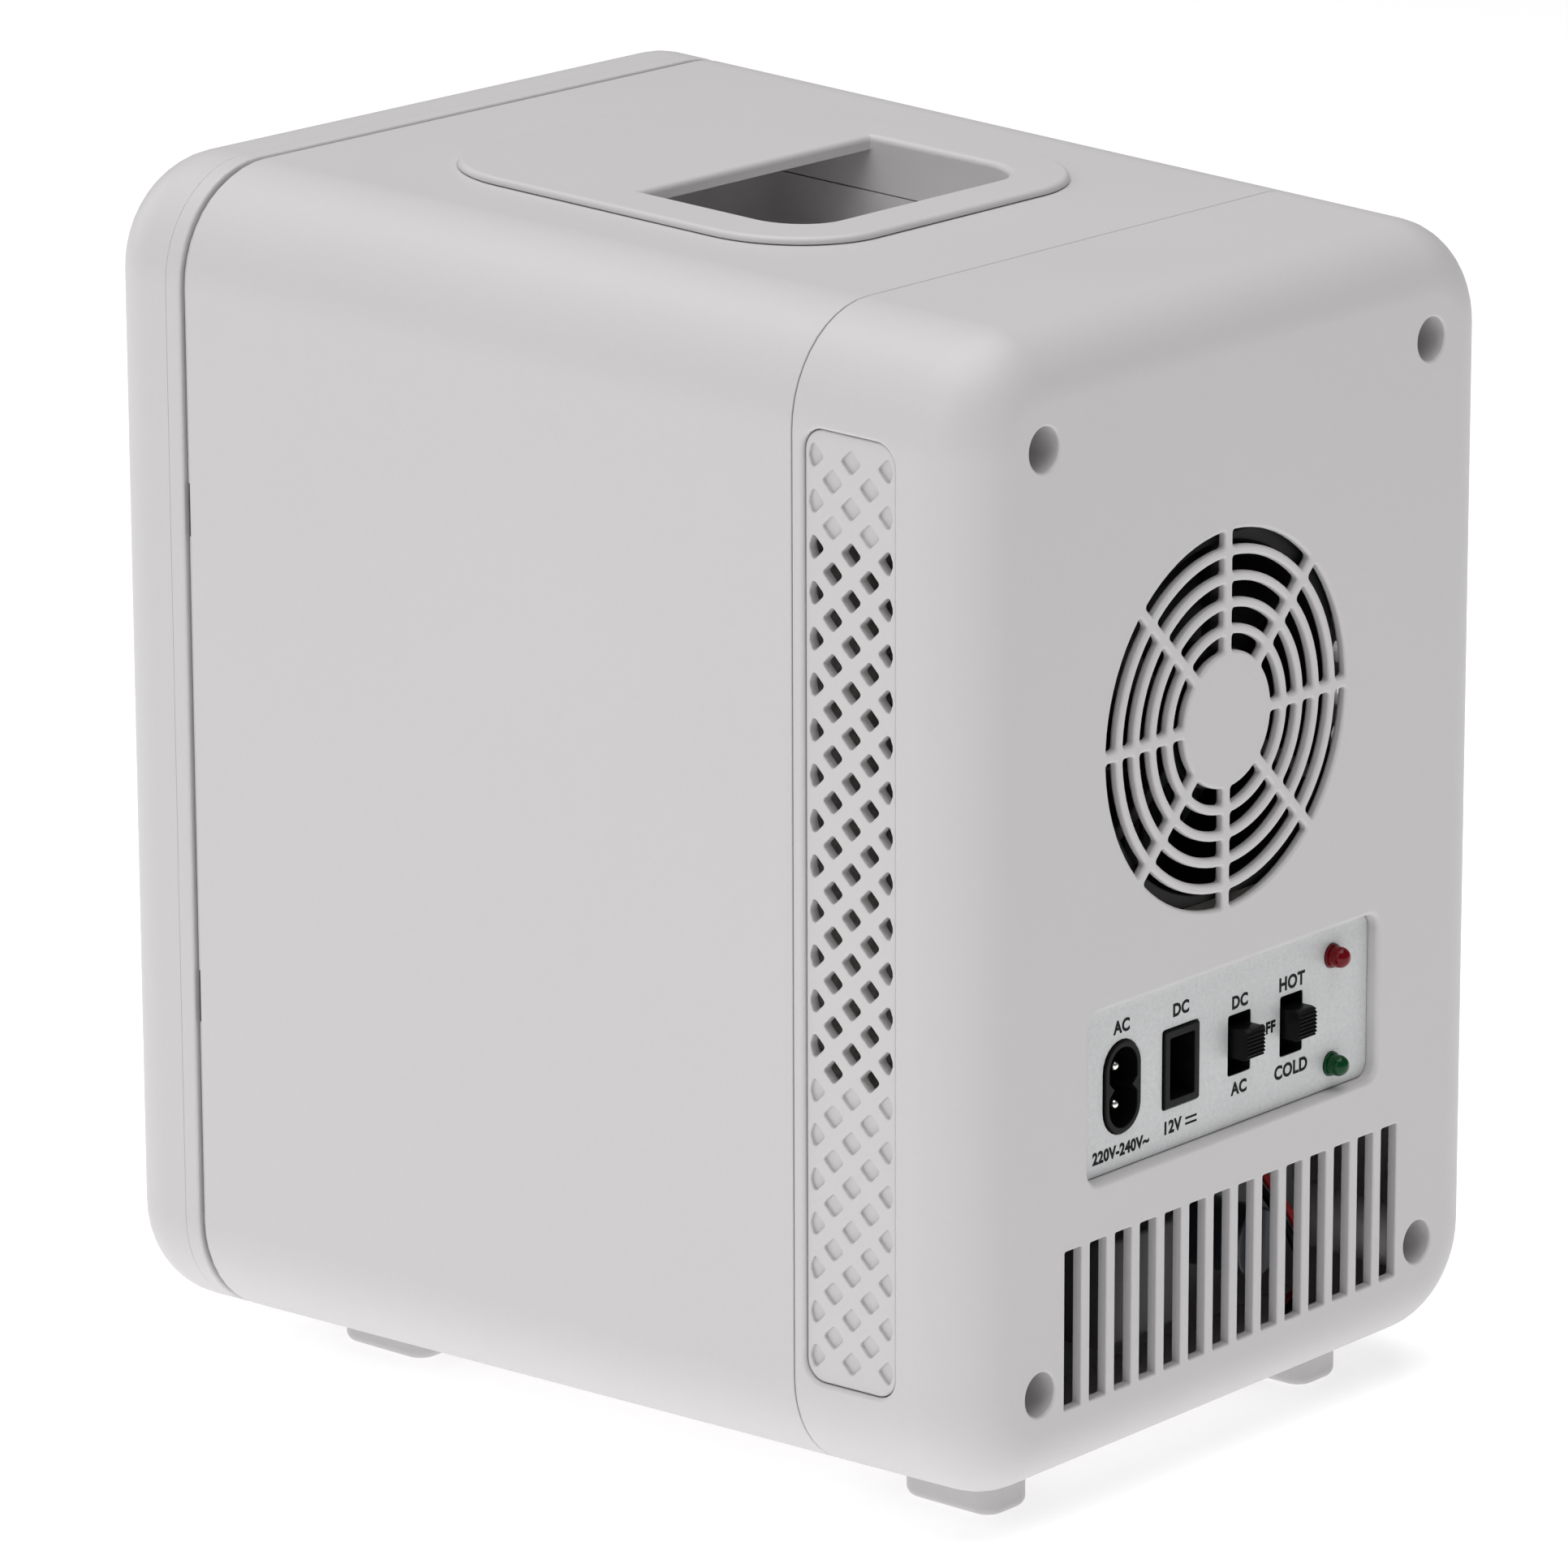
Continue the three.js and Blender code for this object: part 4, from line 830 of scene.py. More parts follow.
def side_vent(side):
    """The lattice in its window: its face, its rounded border, its back, and each opening's wall or floor."""
    surface = SideSurface(side, VENT_INSET)
    outline = offset(vent_window(), -0.25)
    openings = vent_openings()
    border, edge, depth, blind = 0.4, 0.28, sizes().vent_depth, 0.9
    through = [h for h, goes in openings if goes]
    parts = [
        patch(surface, offset(outline, -border), [offset(h, edge) for h, _ in openings]),
        rim(surface, outline, border, depth),
        patch(surface, outline, through, depth, -1),
    ]
    for hole, goes in openings:
        parts.append(rim(surface, hole, edge, depth if goes else blind, -1, 3))
        if not goes:
            parts.append(patch(surface, hole, (), blind))
    return [widened(p) for p in parts]


# ---------------------------------------------------------------- carry handle
HANDLE_LOW, HANDLE_HIGH = span("handle_plate")
HANDLE_Y = (HANDLE_LOW[1] + HANDLE_HIGH[1]) / 2
HANDLE_LENGTH, HANDLE_WIDTH, HANDLE_RISE = 112.0, HANDLE_HIGH[0] - HANDLE_LOW[0], 1.8
GRIP_HALF, GRIP_FRONT, GRIP_BACK, POCKET_FRONT, POCKET_ROUND = 38.7, -2.0, 43.8, -40.2, 12.0
SKIRT_DEPTH, CUP_DEPTH, GRIP_THICKNESS = 10.7, 15.0, 3.2


def top_face(rise=0.0):
    """The handle's own plane, on the sloping top and raised by a little."""
    slope = math.atan(-TOP_SLOPE)
    out = np.array([0, math.sin(slope), math.cos(slope)])
    up = np.array([0, math.cos(slope), -math.sin(slope)])
    origin = np.array([0, HANDLE_Y, TOP_ZERO + TOP_SLOPE * HANDLE_Y]) + rise * out
    return Face(origin, X_AXIS, up, out)


def pocket_outline(grow=0.0):
    middle = (0, (GRIP_BACK + POCKET_FRONT) / 2)
    width, length = 2 * (GRIP_HALF + grow), GRIP_BACK - POCKET_FRONT + 2 * grow
    return round_rect(width, length, POCKET_ROUND + grow, middle, 10)


def handle_plate():
    """The raised plate with its grip opening, and the skirt that runs down round the finger pocket."""
    face = top_face(HANDLE_RISE)
    edge = sizes().grip_edge
    outline = round_rect(HANDLE_WIDTH, HANDLE_LENGTH, 25, (0, 0), 20)
    opening = corner_outline(
        (0, (GRIP_FRONT + GRIP_BACK) / 2),
        GRIP_HALF,
        (GRIP_BACK - GRIP_FRONT) / 2,
        (0.4, POCKET_ROUND, POCKET_ROUND, 0.4),
        np.linspace(0, 90, 11),
    )
    lower = HANDLE_RISE - 0.3
    skirt_bottom = HANDLE_RISE + SKIRT_DEPTH
    inner, outer = pocket_outline(), pocket_outline(2.2)
    covered = (0, (GRIP_FRONT + POCKET_FRONT) / 2)
    corners = (POCKET_ROUND, 0.4, 0.4, POCKET_ROUND)
    sharp = round_rect(2 * GRIP_HALF, GRIP_FRONT - POCKET_FRONT, corners, covered, 10)
    return [
        patch(face, offset(outline, -1.3), [offset(opening, edge)]),
        rim(face, outline, 1.3, lower, 1, 8),
        patch(face, outline, [outer], lower, -1),
        rim(face, opening, edge, GRIP_THICKNESS, -1, 8),
        patch(face, sharp, (), GRIP_THICKNESS, -1),
        rim(face, inner, 0, skirt_bottom - GRIP_THICKNESS, -1, start=GRIP_THICKNESS),
        patch(face, outer, [inner], skirt_bottom, -1),
        rim(face, outer, 0, skirt_bottom - lower, 1, start=lower),
    ]


def handle_cup():
    """The finger pocket's floor: walls, a filleted bottom and the outside of the cup."""
    face = top_face()
    start = SKIRT_DEPTH + 0.3
    fillet = 5.0
    inner, outer = pocket_outline(-0.12), pocket_outline(2.2)
    points, normals = inner
    turn = np.radians(np.linspace(0, 90, 9))
    shift = np.concatenate([[0], -fillet * (1 - np.cos(turn))])
    down = np.concatenate([[start], SKIRT_DEPTH + CUP_DEPTH - fillet + fillet * np.sin(turn)])
    aside, upward = np.concatenate([[-1], -np.cos(turn)]), np.concatenate([[0], np.sin(turn)])
    flat = points[:, None] + shift[None, :, None] * normals[:, None]
    bowl = sheet(
        face.at(flat, np.broadcast_to(down, flat.shape[:2])),
        face.turn(normals[:, None] * aside[None, :, None], np.broadcast_to(upward, flat.shape[:2])),
    )
    floor = SKIRT_DEPTH + CUP_DEPTH
    return [
        bowl,
        patch(face, offset(inner, -fillet), (), floor, 1),
        patch(face, outer, [inner], start, 1),
        rim(face, outer, 0, floor + 2 - start, 1, start=start),
        patch(face, outer, (), floor + 2, -1),
    ]


# ---------------------------------------------------------------- door
HINGE_NODES = ("hinge_bracket_lower", "hinge_bracket_upper")
SPLIT_EDGE = 0.1  # edge radius where the door's two halves meet
NOTCH_REACH = 88.5  # the notches leave this half width of the door whole
NOTCH_HALF = 6.8


def straightened(y, x=None, z=None):
    """The place before widening of an X or a Z at some Y."""
    if x is not None:
        return x * HALF / (WIDTH_ZERO + WIDTH_SLOPE * y)
    low = BOTTOM_ZERO + BOTTOM_SLOPE * y
    return BOTTOM + (z - low) * (TOP - BOTTOM) / (TOP_ZERO + TOP_SLOPE * y - low)


def hinge_y():
    low, high = span("hinge_pin_lower")
    return (low[1] + high[1]) / 2


def notches():
    """Lower and upper Z of each hinge notch, before widening."""
    middles = [(span(n)[0][2] + span(n)[1][2]) / 2 for n in HINGE_NODES]
    return [tuple(straightened(hinge_y(), z=z + d) for d in (-NOTCH_HALF, NOTCH_HALF)) for z in middles]


def notched_side(inset, y0, y1, notch_y, out):
    """The door's hinge side between two Ys, with a rectangle missing at each hinge, open towards y1."""
    surface = SideSurface(-1, inset)
    limits = surface.limits(y0, y1)
    cuts = [((y1, low), (notch_y, low), (notch_y, high), (y1, high)) for low, high in notches()]
    return curved_patch(surface, [np.concatenate([limits[:3], *cuts, limits[3:]])], out)


def quad(corners, normal):
    """A flat face with four corners."""
    return facing(np.array(corners, float), np.tile(np.float64(normal), (4, 1)), np.array([[0, 1, 2, 3]]))


def notch_walls(y0, y1, back):
    """The notch's two level walls, its blind wall along the door and the wall beside the hinge."""
    parts = []
    outer, inner = -HALF, straightened(hinge_y(), x=-NOTCH_REACH)
    for low, high in notches():
        for z, up in ((low, 1), (high, -1)):
            parts.append(quad([(outer, y0, z), (inner, y0, z), (inner, y1, z), (outer, y1, z)], (0, 0, up)))
        blind = [(inner, y0, low), (inner, y1, low), (inner, y1, high), (inner, y0, high)]
        parts.append(quad(blind, (-1, 0, 0)))
        if back:
            ends = [(outer, y0, low), (inner, y0, low), (inner, y0, high), (outer, y0, high)]
            parts.append(quad(ends, (0, 1, 0)))
    return parts


def door_outer_shell():
    s = sizes()
    outline = cabinet_outline()
    r, y_split = s.door_round, DOOR_HIGH[1]
    seam = SPLIT_EDGE
    bend, end = shell_ends(y_split, 1, seam)
    straight = FRONT_Y + r
    notch_y = hinge_y() - 4.7
    parts = [
        carried(outline, arc((-r, FRONT_Y + r), r, -90, 0, 14)),
        carried(outline, line((0, straight), (0, y_split - seam), (1, 0)), LEFT_ROWS),
        carried(outline, bend, LEFT_ROWS[1:2]),
        carried(outline, end, LEFT_ROWS[1:2]),
        carried(outline, line((-WALL, y_split), (-WALL, straight), (-1, 0)), LEFT_ROWS),
        carried(outline, arc((-r, FRONT_Y + r), r - WALL, 0, -90, 8, -1)),
        patch(front_face(FRONT_Y), offset(outline, -r)),
        patch(front_face(FRONT_Y), offset(outline, -r), (), WALL, -1),
        notched_side(0.0, straight, y_split - seam, notch_y, 1),
        notched_side(WALL, straight, y_split, notch_y, -1),
    ]
    parts += notch_walls(notch_y, y_split, True)
    parts += along_hinge_side(bend, end)
    return [widened(p) for p in parts]


def along_hinge_side(*profiles):
    """Profiles carried along the hinge side's flat, below, between and above the notches."""
    low, high = BOTTOM + sizes().corner, TOP - sizes().corner
    stops = [low, *(z for pair in notches() for z in pair), high]
    parts = []
    for z0, z1 in zip(stops[::2], stops[1::2]):
        run = np.array([(-HALF, z1), (-HALF, z0)]), np.array([(-1.0, 0), (-1.0, 0)])
        parts += [carried(run, profile, [1]) for profile in profiles]
    return parts


PAN_WIDTH, PAN_HEIGHT, PAN_ROUND, PAN_Z = 152, 202, 10, 135


def door_pan(grow=0.0):
    return round_rect(PAN_WIDTH + 2 * grow, PAN_HEIGHT + 2 * grow, PAN_ROUND + grow, (0, PAN_Z), 6)


def door_inner_panel():
    """The rim behind the outer shell and its face, with the pan that the rack sits in."""
    outline = cabinet_outline()
    y0, y1 = DOOR_HIGH[1] + 0.06, PANEL_HIGH[1]
    lip = 0.6
    depth = y1 - PANEL_LOW[1]
    back = back_face(y1)
    profile = joined(
        arc((-SPLIT_EDGE, y0 + SPLIT_EDGE), SPLIT_EDGE, -90, 0, 4),
        line((0, y0 + SPLIT_EDGE), (0, y1 - lip), (1, 0)),
        arc((-lip, y1 - lip), lip, 0, 90, 5),
    )
    edge_rows = [carried(outline, profile, LEFT_ROWS[1:2])]
    edge_rows += along_hinge_side(profile) + notch_walls(y0, y1, False)

    last = LEFT_ROWS[1]
    reach = straightened(hinge_y(), x=-NOTCH_REACH)
    ring = offset(outline, -lip)[0]
    edge_x = ring[last, 0]
    cuts = [((edge_x, z1), (reach, z1), (reach, z0), (edge_x, z0)) for z0, z1 in reversed(notches())]
    ring = true_places(np.concatenate([ring[: last + 1], *cuts, ring[last + 1 :]]), y1)
    pan, outside = door_pan(), door_pan(2)
    return [widened(p) for p in edge_rows] + [
        patch(front_face(y0), outline_at(y0, SPLIT_EDGE), [outside]),
        patch(back, (ring, ring), [offset(pan, 2.0)]),
        rim(back, pan, 2.0, depth - 2, -1, 6),
        patch(back, pan, (), depth - 2, 1),
        rim(back, outside, 0, depth - (y1 - y0), 1, start=y1 - y0),
        patch(back, outside, (), depth, -1),
    ]


def door_gasket():
    """A bellows frame: a wavy profile across the gasket's width, carried round a rounded rectangle."""
    low, high = span("door_gasket")
    middle = (low[0] + high[0]) / 2, (low[2] + high[2]) / 2
    half_x, half_z = (high[0] - low[0]) / 2, (high[2] - low[2]) / 2
    y0, y1 = PANEL_HIGH[1] + 0.1, high[1]
    across = np.linspace(-7, 0, 29)
    crest = y1 - 0.35 * (1 - np.cos(across / 7 * 4 * np.pi)) / 2
    crest[0] = crest[-1] = y0
    path = np.stack([across, crest], -1)
    slope = np.gradient(crest, across)
    lean = np.stack([-slope, np.ones_like(slope)], -1)
    lean /= np.linalg.norm(lean, axis=1, keepdims=True)
    outline = corner_outline(middle, half_x, half_z, 20.5, np.linspace(0, 90, 13))
    under = line((-7, y0), (0, y0), (0, -1))
    return [carried(outline, (path, lean)), carried(outline, under)]


# ---------------------------------------------------------------- inside
LINER_LOW, LINER_HIGH = span("inner_liner")
LINER_WALL = 2
CAVITY_WIDTH, CAVITY_HEIGHT, CAVITY_ROUND, CAVITY_Z = 141, 206, 12, 125
RAIL_LENGTH, RAIL_THICKNESS, RAIL_REACH, RAIL_Z = 94, 2.4, 3.6, 122.9


def catch_strike(node):
    """The strike plate in the bezel and its tab, which reaches out through the rib at the cabinet's mouth."""
    low, high, x, z = placed(node)
    height = high[2] - low[2]
    outer = WIDTH_ZERO + WIDTH_SLOPE * SHELL_LOW[1] - RIB_INSET + 0.12
    inner = high[0] - 2
    plate = round_rect(high[0] - low[0], height, 0.4, (x, z), 3)
    tab = round_rect(outer - inner, height, 0.2, ((outer + inner) / 2, z), 3)
    lip = SHELL_LOW[1] - RIB_HEIGHT
    plate_parts = slab(front_face(low[1]), plate, high[1] - low[1], 0.2)
    return plate_parts + slab(front_face(lip + 0.1), tab, low[1] - lip + 0.3, 0.1)


def inner_liner():
    """The tub: a flat flange, a rounded lip, straight walls, a rounded back edge, its back and two rails."""
    y0 = LINER_LOW[1]
    back = LINER_HIGH[1] - LINER_WALL
    behind = LINER_HIGH[1]
    cavity = round_rect(CAVITY_WIDTH, CAVITY_HEIGHT, CAVITY_ROUND, (0, CAVITY_Z), 10)
    lip, fillet = 2.5, 8.0
    clear = WALL + 0.3
    inside = joined(
        arc((lip, y0 + lip), lip, -90, -180, 6),
        line((0, y0 + lip), (0, back - fillet), (-1, 0)),
        arc((-fillet, back - fillet), fillet, 0, 90, 8, -1),
    )
    outside = joined(
        line((LINER_WALL, y0 + LINER_WALL), (LINER_WALL, behind - fillet), (1, 0)),
        arc((LINER_WALL - fillet, behind - fillet), fillet, 0, 90, 6),
    )
    parts = [
        patch(front_face(y0), outline_at(y0, clear), [offset(cavity, lip)]),
        carried(cavity, inside),
        patch(front_face(back), offset(cavity, -fillet)),
        carried(cavity, outside),
        patch(back_face(behind), offset(cavity, LINER_WALL - fillet)),
        patch(back_face(y0 + LINER_WALL), outline_at(y0, clear), [offset(cavity, LINER_WALL)]),
        widened(carried(cabinet_outline(), line((-clear, y0), (-clear, y0 + LINER_WALL), (1, 0)))),
    ]
    rail = round_rect(RAIL_LENGTH, RAIL_THICKNESS, 1.1, (y0 + 57, RAIL_Z), 6)
    for side in (-1, 1):
        face = Face((side * (CAVITY_WIDTH / 2 - RAIL_REACH), 0, 0), Y_AXIS, Z_AXIS, (-side, 0, 0))
        parts += slab(face, rail, RAIL_REACH, 0.5)
    return parts


# ---------------------------------------------------------------- fans
def fan(frame_node, rotor_node, bore, hub, count, pitch):
    """Parts of a square fan frame with its struts, and of its rotor with blades twisted from root to tip.
    A blade's section is a thin ellipse across the chord, turned about its radius by the pitch angle."""
    low, high, x, z = placed(frame_node)
    half = (high[0] - low[0]) / 2
    reach = half * 0.894
    corners = [circle(half * 0.055, (x + a * reach, z + b * reach), 16) for a in (-1, 1) for b in (-1, 1)]
    face = back_face(high[1])
    outline = round_rect(2 * half, 2 * half, half * 0.12, (x, z), 6)
    frame_parts = slab(face, outline, high[1] - low[1], 0.5, [circle(bore, (x, z), 96), *corners])
    hub_face = back_face(high[1] - 0.4)
    frame_parts += slab(hub_face, circle(hub, (x, z), 64), 2.4, 0.5)
    for turn in np.radians([90, 210, 330]):
        ray = np.array([math.cos(turn), 0, math.sin(turn)])
        aside = np.array([-math.sin(turn), 0, math.cos(turn)])
        arm = Face((x, high[1] - 0.6, z), ray, aside, Y_AXIS)
        frame_parts += slab(arm, round_rect(bore - hub + 1.6, 3.2, 0.4, ((bore + hub) / 2, 0), 2), 2.2, 0.4)

    r_low, r_high = span(rotor_node)
    y0, y1 = r_low[1] + 0.2, min(r_high[1], high[1] - 3.2)
    tip = (r_high[0] - r_low[0]) / 2
    cap = joined(
        line((0.01, y1), (hub - 2.5, y1), (0, 1)),
        arc((hub - 2.5, y1 - 2.5), 2.5, 90, 0, 6),
        line((hub, y1 - 2.5), (hub, y0), (1, 0)),
    )
    under = line((0.01, y0), (hub, y0), (0, -1))
    rotor = [revolved(profile, (x, 0, z), Y_AXIS, 64) for profile in (cap, under)]
    radius = np.linspace(hub - 0.8, tip, 12)[:, None]
    phase = np.linspace(0, 2 * np.pi, 25)[None]
    share = (radius - hub) / (tip - hub)
    lean = np.radians(pitch) * (1 - 0.35 * share)
    chord = (y1 - y0 - 1.5) / np.sin(lean)
    c = chord / 2 * np.cos(phase)
    t = 0.65 * np.sin(phase) + 1.6 * (np.cos(phase) ** 2 - 0.5)
    up = c * np.sin(lean) + t * np.cos(lean)
    along = c * np.cos(lean) - t * np.sin(lean)
    for k in range(count):
        turn = 2 * np.pi * k / count + along / radius + 0.35 * share
        level = np.clip((y0 + y1) / 2 + up, y0, y1)
        places = np.stack([x + radius * np.cos(turn), level, z + radius * np.sin(turn)], -1)
        around = np.gradient(places, axis=1)
        outwards = np.gradient(places, axis=0)
        normals = np.cross(around, outwards)
        normals /= np.linalg.norm(normals, axis=2, keepdims=True) + 1e-12
        centre = places.mean(1, keepdims=True)
        if ((places - centre) * normals).sum() < 0:
            normals = -normals
        rotor.append(sheet(places, normals, closed=False))
        tip_ring = places[-1, :-1]
        outward = np.tile((tip_ring.mean(0) - (x, 0, z)) * (1, 0, 1), (24, 1))
        rotor.append(facing(tip_ring, outward, np.array([[i, i + 1, 22 - i, 23 - i] for i in range(11)])))
    return frame_parts, rotor


# ---------------------------------------------------------------- controls
def ac_inlet():
    """Stadium shroud with a hollow waisted by two V-shaped keys: its sides move in by a tent of Z."""
    low, high, x, z = placed("ac_inlet")
    width, height = high[0] - low[0], high[2] - low[2]
    outline = round_rect(width, height, width / 2 - 0.01, (x, z), 12, 15)
    points, normals = offset(outline, -1.35)
    tent = np.clip(1 - np.abs(points[:, 1] - z) / 1.7, 0, None)[:, None]
    hollow = with_normals(points - 1.7 * tent * np.sign(points[:, :1] - x) * (1, 0))
    face = back_face(high[1])
    parts = [patch(face, offset(outline, -0.3), [offset(hollow, 0.2)])]
    parts.append(rim(face, outline, 0.3, high[1] - low[1]))
    depth = high[1] - (BACK_Y - 15)
    parts += [rim(face, hollow, 0.2, depth, -1), patch(face, hollow, (), depth, 1)]
    parts.append(patch(face, outline, (), high[1] - low[1], -1))
    return parts


def dc_socket():
    low, high, x, z = placed("dc_socket")
    outline = round_rect(high[0] - low[0], high[2] - low[2], 0.6, (x, z), 4)
    hollow = round_rect(high[0] - low[0] - 3.6, high[2] - low[2] - 3.6, 0.4, (x, z), 4)
    face = back_face(high[1])
    depth = high[1] - (BACK_Y - 14)
    return [
        patch(face, offset(outline, -0.3), [offset(hollow, 0.2)]),
        rim(face, outline, 0.3, high[1] - low[1]),
        rim(face, hollow, 0.2, depth, -1),
        patch(face, hollow, (), depth, 1),
        patch(face, outline, (), high[1] - low[1], -1),
    ]


def contact_pin(node):
    """A round pin with a domed tip."""
    low, high, x, z = placed(node)
    r = (high[0] - low[0]) / 2
    path = joined(arc((0, high[1] - r), r, 89, 0, 8), line((r, high[1] - r), (r, low[1]), (1, 0)))
    return [revolved(path, (x, 0, z), Y_AXIS, 28)]


def slide_knob(node):
    """A block whose end is ribbed: its outline's end dips by a cosine of the height, eight ribs in all."""
    low, high, x, z = placed(node)
    half_x, half_z = (high[0] - low[0]) / 2, (high[2] - low[2]) / 2
    ribs, rib_depth = 8, 0.42
    across = np.linspace(-1, 1, ribs * 10 + 1)
    shoulder_round = 1.5
    beyond = np.clip((np.abs(across) * half_z - half_z + shoulder_round) / shoulder_round, 0, 1)
    shoulder = shoulder_round * (1 - np.sqrt(1 - beyond**2))
    end = high[1] - rib_depth * (0.5 + 0.5 * np.cos(across * ribs * np.pi)) - shoulder * 0.8
    ribbed = np.stack([end, z + across * half_z], -1)[1:-1]
    below, above = z - half_z, z + half_z
    foot, neck = low[1], high[1] - 1.6
    ring = [[(foot, below), (neck, below)], ribbed, [(neck, above), (foot, above)]]
    outline = with_normals(np.concatenate(ring))
    parts = []
    for side in (-1, 1):
        face = Face((x + side * half_x, 0, 0), Y_AXIS, Z_AXIS, (side, 0, 0))
        parts.append(patch(face, offset(outline, -0.15)))
        parts.append(rim(face, outline, 0.15, half_x))
    return parts


def lamp(node):
    """A light-emitting diode: a straight collar and a domed lens, with the flange at its foot."""
    low, high, x, z = placed(node)
    r = (high[0] - low[0]) / 2
    collar = PLATE_FACE_Y + 0.7
    path = joined(arc((0, high[1] - r), r, 89.5, 0, 16), line((r, high[1] - r), (r, collar), (1, 0)))
    foot = joined(
        line((r, collar), (2.62, collar), (0, 1)),
        arc((2.5, PLATE_FACE_Y + 0.5), 0.2, 90, 0, 3),
        line((2.7, PLATE_FACE_Y + 0.5), (2.7, low[1]), (1, 0)),
    )
    return [revolved(path, (x, 0, z), Y_AXIS), revolved(foot, (x, 0, z), Y_AXIS)]


LABELS = (
    ("AC", 35.8, 107.0, 2.4),
    ("220V-240V~", 35.9, 79.6, 2.25),
    ("DC", 15.6, 106.2, 2.4),
    ("12V", 18.4, 80.5, 2.4),
    ("DC", -4.9, 103.0, 2.4),
    ("AC", -4.9, 83.6, 2.4),
    ("OFF", -14.3, 94.5, 2.2),
    ("HOT", -23.2, 103.1, 2.6),
    ("COLD", -23.2, 83.4, 2.6),
)


def label_mesh(words, x, z, height):
    """Flat letters on the control plate, read from behind: text X runs towards -X, text Y towards +Z."""
    curve = bpy.data.curves.new("letters", "FONT")
    curve.body = words
    curve.align_x, curve.align_y = "CENTER", "CENTER"
    curve.size = height * 1.62 * MM
    curve.space_character = 1.06
    curve.extrude = 0.02 * MM
    curve.offset = 0.16 * MM
    curve.resolution_u = 4
    holder = bpy.data.objects.new("letters", curve)
    bpy.context.scene.collection.objects.link(holder)
    bpy.context.view_layer.update()
    mesh = bpy.data.meshes.new_from_object(holder.evaluated_get(bpy.context.evaluated_depsgraph_get()))
    bpy.data.objects.remove(holder)
    narrow = 0.98
    y = PLATE_FACE_Y + 0.02
    place = Matrix(((-narrow, 0, 0, x * MM), (0, 0, 1, y * MM), (0, 1, 0, z * MM), (0, 0, 0, 1)))
    mesh.transform(place)
    return mesh


# ---------------------------------------------------------------- feet, wires
def foot(node):
    low, high = span(node)
    middle = (low[0] + high[0]) / 2, (low[1] + high[1]) / 2
    outline = round_rect(high[0] - low[0], high[1] - low[1], 5, middle, 8)
    return slab(Face((0, 0, low[2]), X_AXIS, Y_AXIS, -Z_AXIS), outline, high[2] - low[2] + 0.5, 2.2, steps=8)


def tube(path, radius, sides=14, steps=90):
    """A round tube along a smooth curve through the given points: the centre line's cubic blend plus
    radius * (cos t * side + sin t * up), with side and up square to its direction."""
    path = np.asarray(path, float)
    knots = np.vstack([2 * path[0] - path[1], path, 2 * path[-1] - path[-2]])
    t = np.linspace(0, len(path) - 1 - 1e-9, steps)
    k = t.astype(int)
    u = (t - k)[:, None]
    a, b, c, d = knots[k], knots[k + 1], knots[k + 2], knots[k + 3]
    centre = 0.5 * (2 * b + (c - a) * u + (2 * a - 5 * b + 4 * c - d) * u**2 + (3 * b - a - 3 * c + d) * u**3)
    ahead = np.gradient(centre, axis=0)
    ahead /= np.linalg.norm(ahead, axis=1, keepdims=True)
    side = np.cross(ahead, X_AXIS)
    side /= np.linalg.norm(side, axis=1, keepdims=True)
    up = np.cross(ahead, side)
    turn = np.linspace(0, 2 * np.pi, sides + 1)
    ray = np.cos(turn)[None, :, None] * side[:, None] + np.sin(turn)[None, :, None] * up[:, None]
    return sheet(centre[:, None] + radius * ray, ray, closed=False)


WIRE_PATHS = {
    "fan_wire_red": [(-30, 2, 64), (-34, 10, 52), (-38, 16, 40), (-42, 13, 27), (-46, 4, 19)],
    "fan_wire_black": [(-25, 2, 64), (-29, 13, 51), (-33, 19, 38), (-37, 16, 26), (-41, 7, 18)],
}


# ---------------------------------------------------------------- operators
class FRIDGE_OT_shell(bpy.types.Operator):
    """Makes the cabinet's main shell"""

    bl_idname = "fridge.shell"
    bl_label = "Main shell"

    def execute(self, context):
        piece("cabinet_shell", body_shell(), "cabinet", casing(), "casing", ["body_shell"])
        return {"FINISHED"}


class FRIDGE_OT_housing(bpy.types.Operator):
    """Makes the back housing with its grille, slots, control recess and screw holes"""

    bl_idname = "fridge.housing"
    bl_label = "Back housing"

    def execute(self, context):
        piece("rear_housing", back_housing(), "cabinet", casing(), "casing", ["back_housing"])
        return {"FINISHED"}


class FRIDGE_OT_vents(bpy.types.Operator):
    """Makes the two side vent lattices"""

    bl_idname = "fridge.vents"
    bl_label = "Side vents"

    def execute(self, context):
        for name, side in (("right", 1), ("left", -1)):
            node = "side_vent_" + name
            piece("vent_lattice_" + name, side_vent(side), "cabinet", casing(), "casing", [node])
        return {"FINISHED"}


class FRIDGE_OT_handle(bpy.types.Operator):
    """Makes the carry handle's plate and its finger pocket"""

    bl_idname = "fridge.handle"
    bl_label = "Carry handle"

    def execute(self, context):
        piece("grip_plate", handle_plate(), "cabinet", casing(), "casing", ["handle_plate"])
        piece("grip_cup", handle_cup(), "cabinet", casing(), "casing", ["handle_cup"])
        return {"FINISHED"}


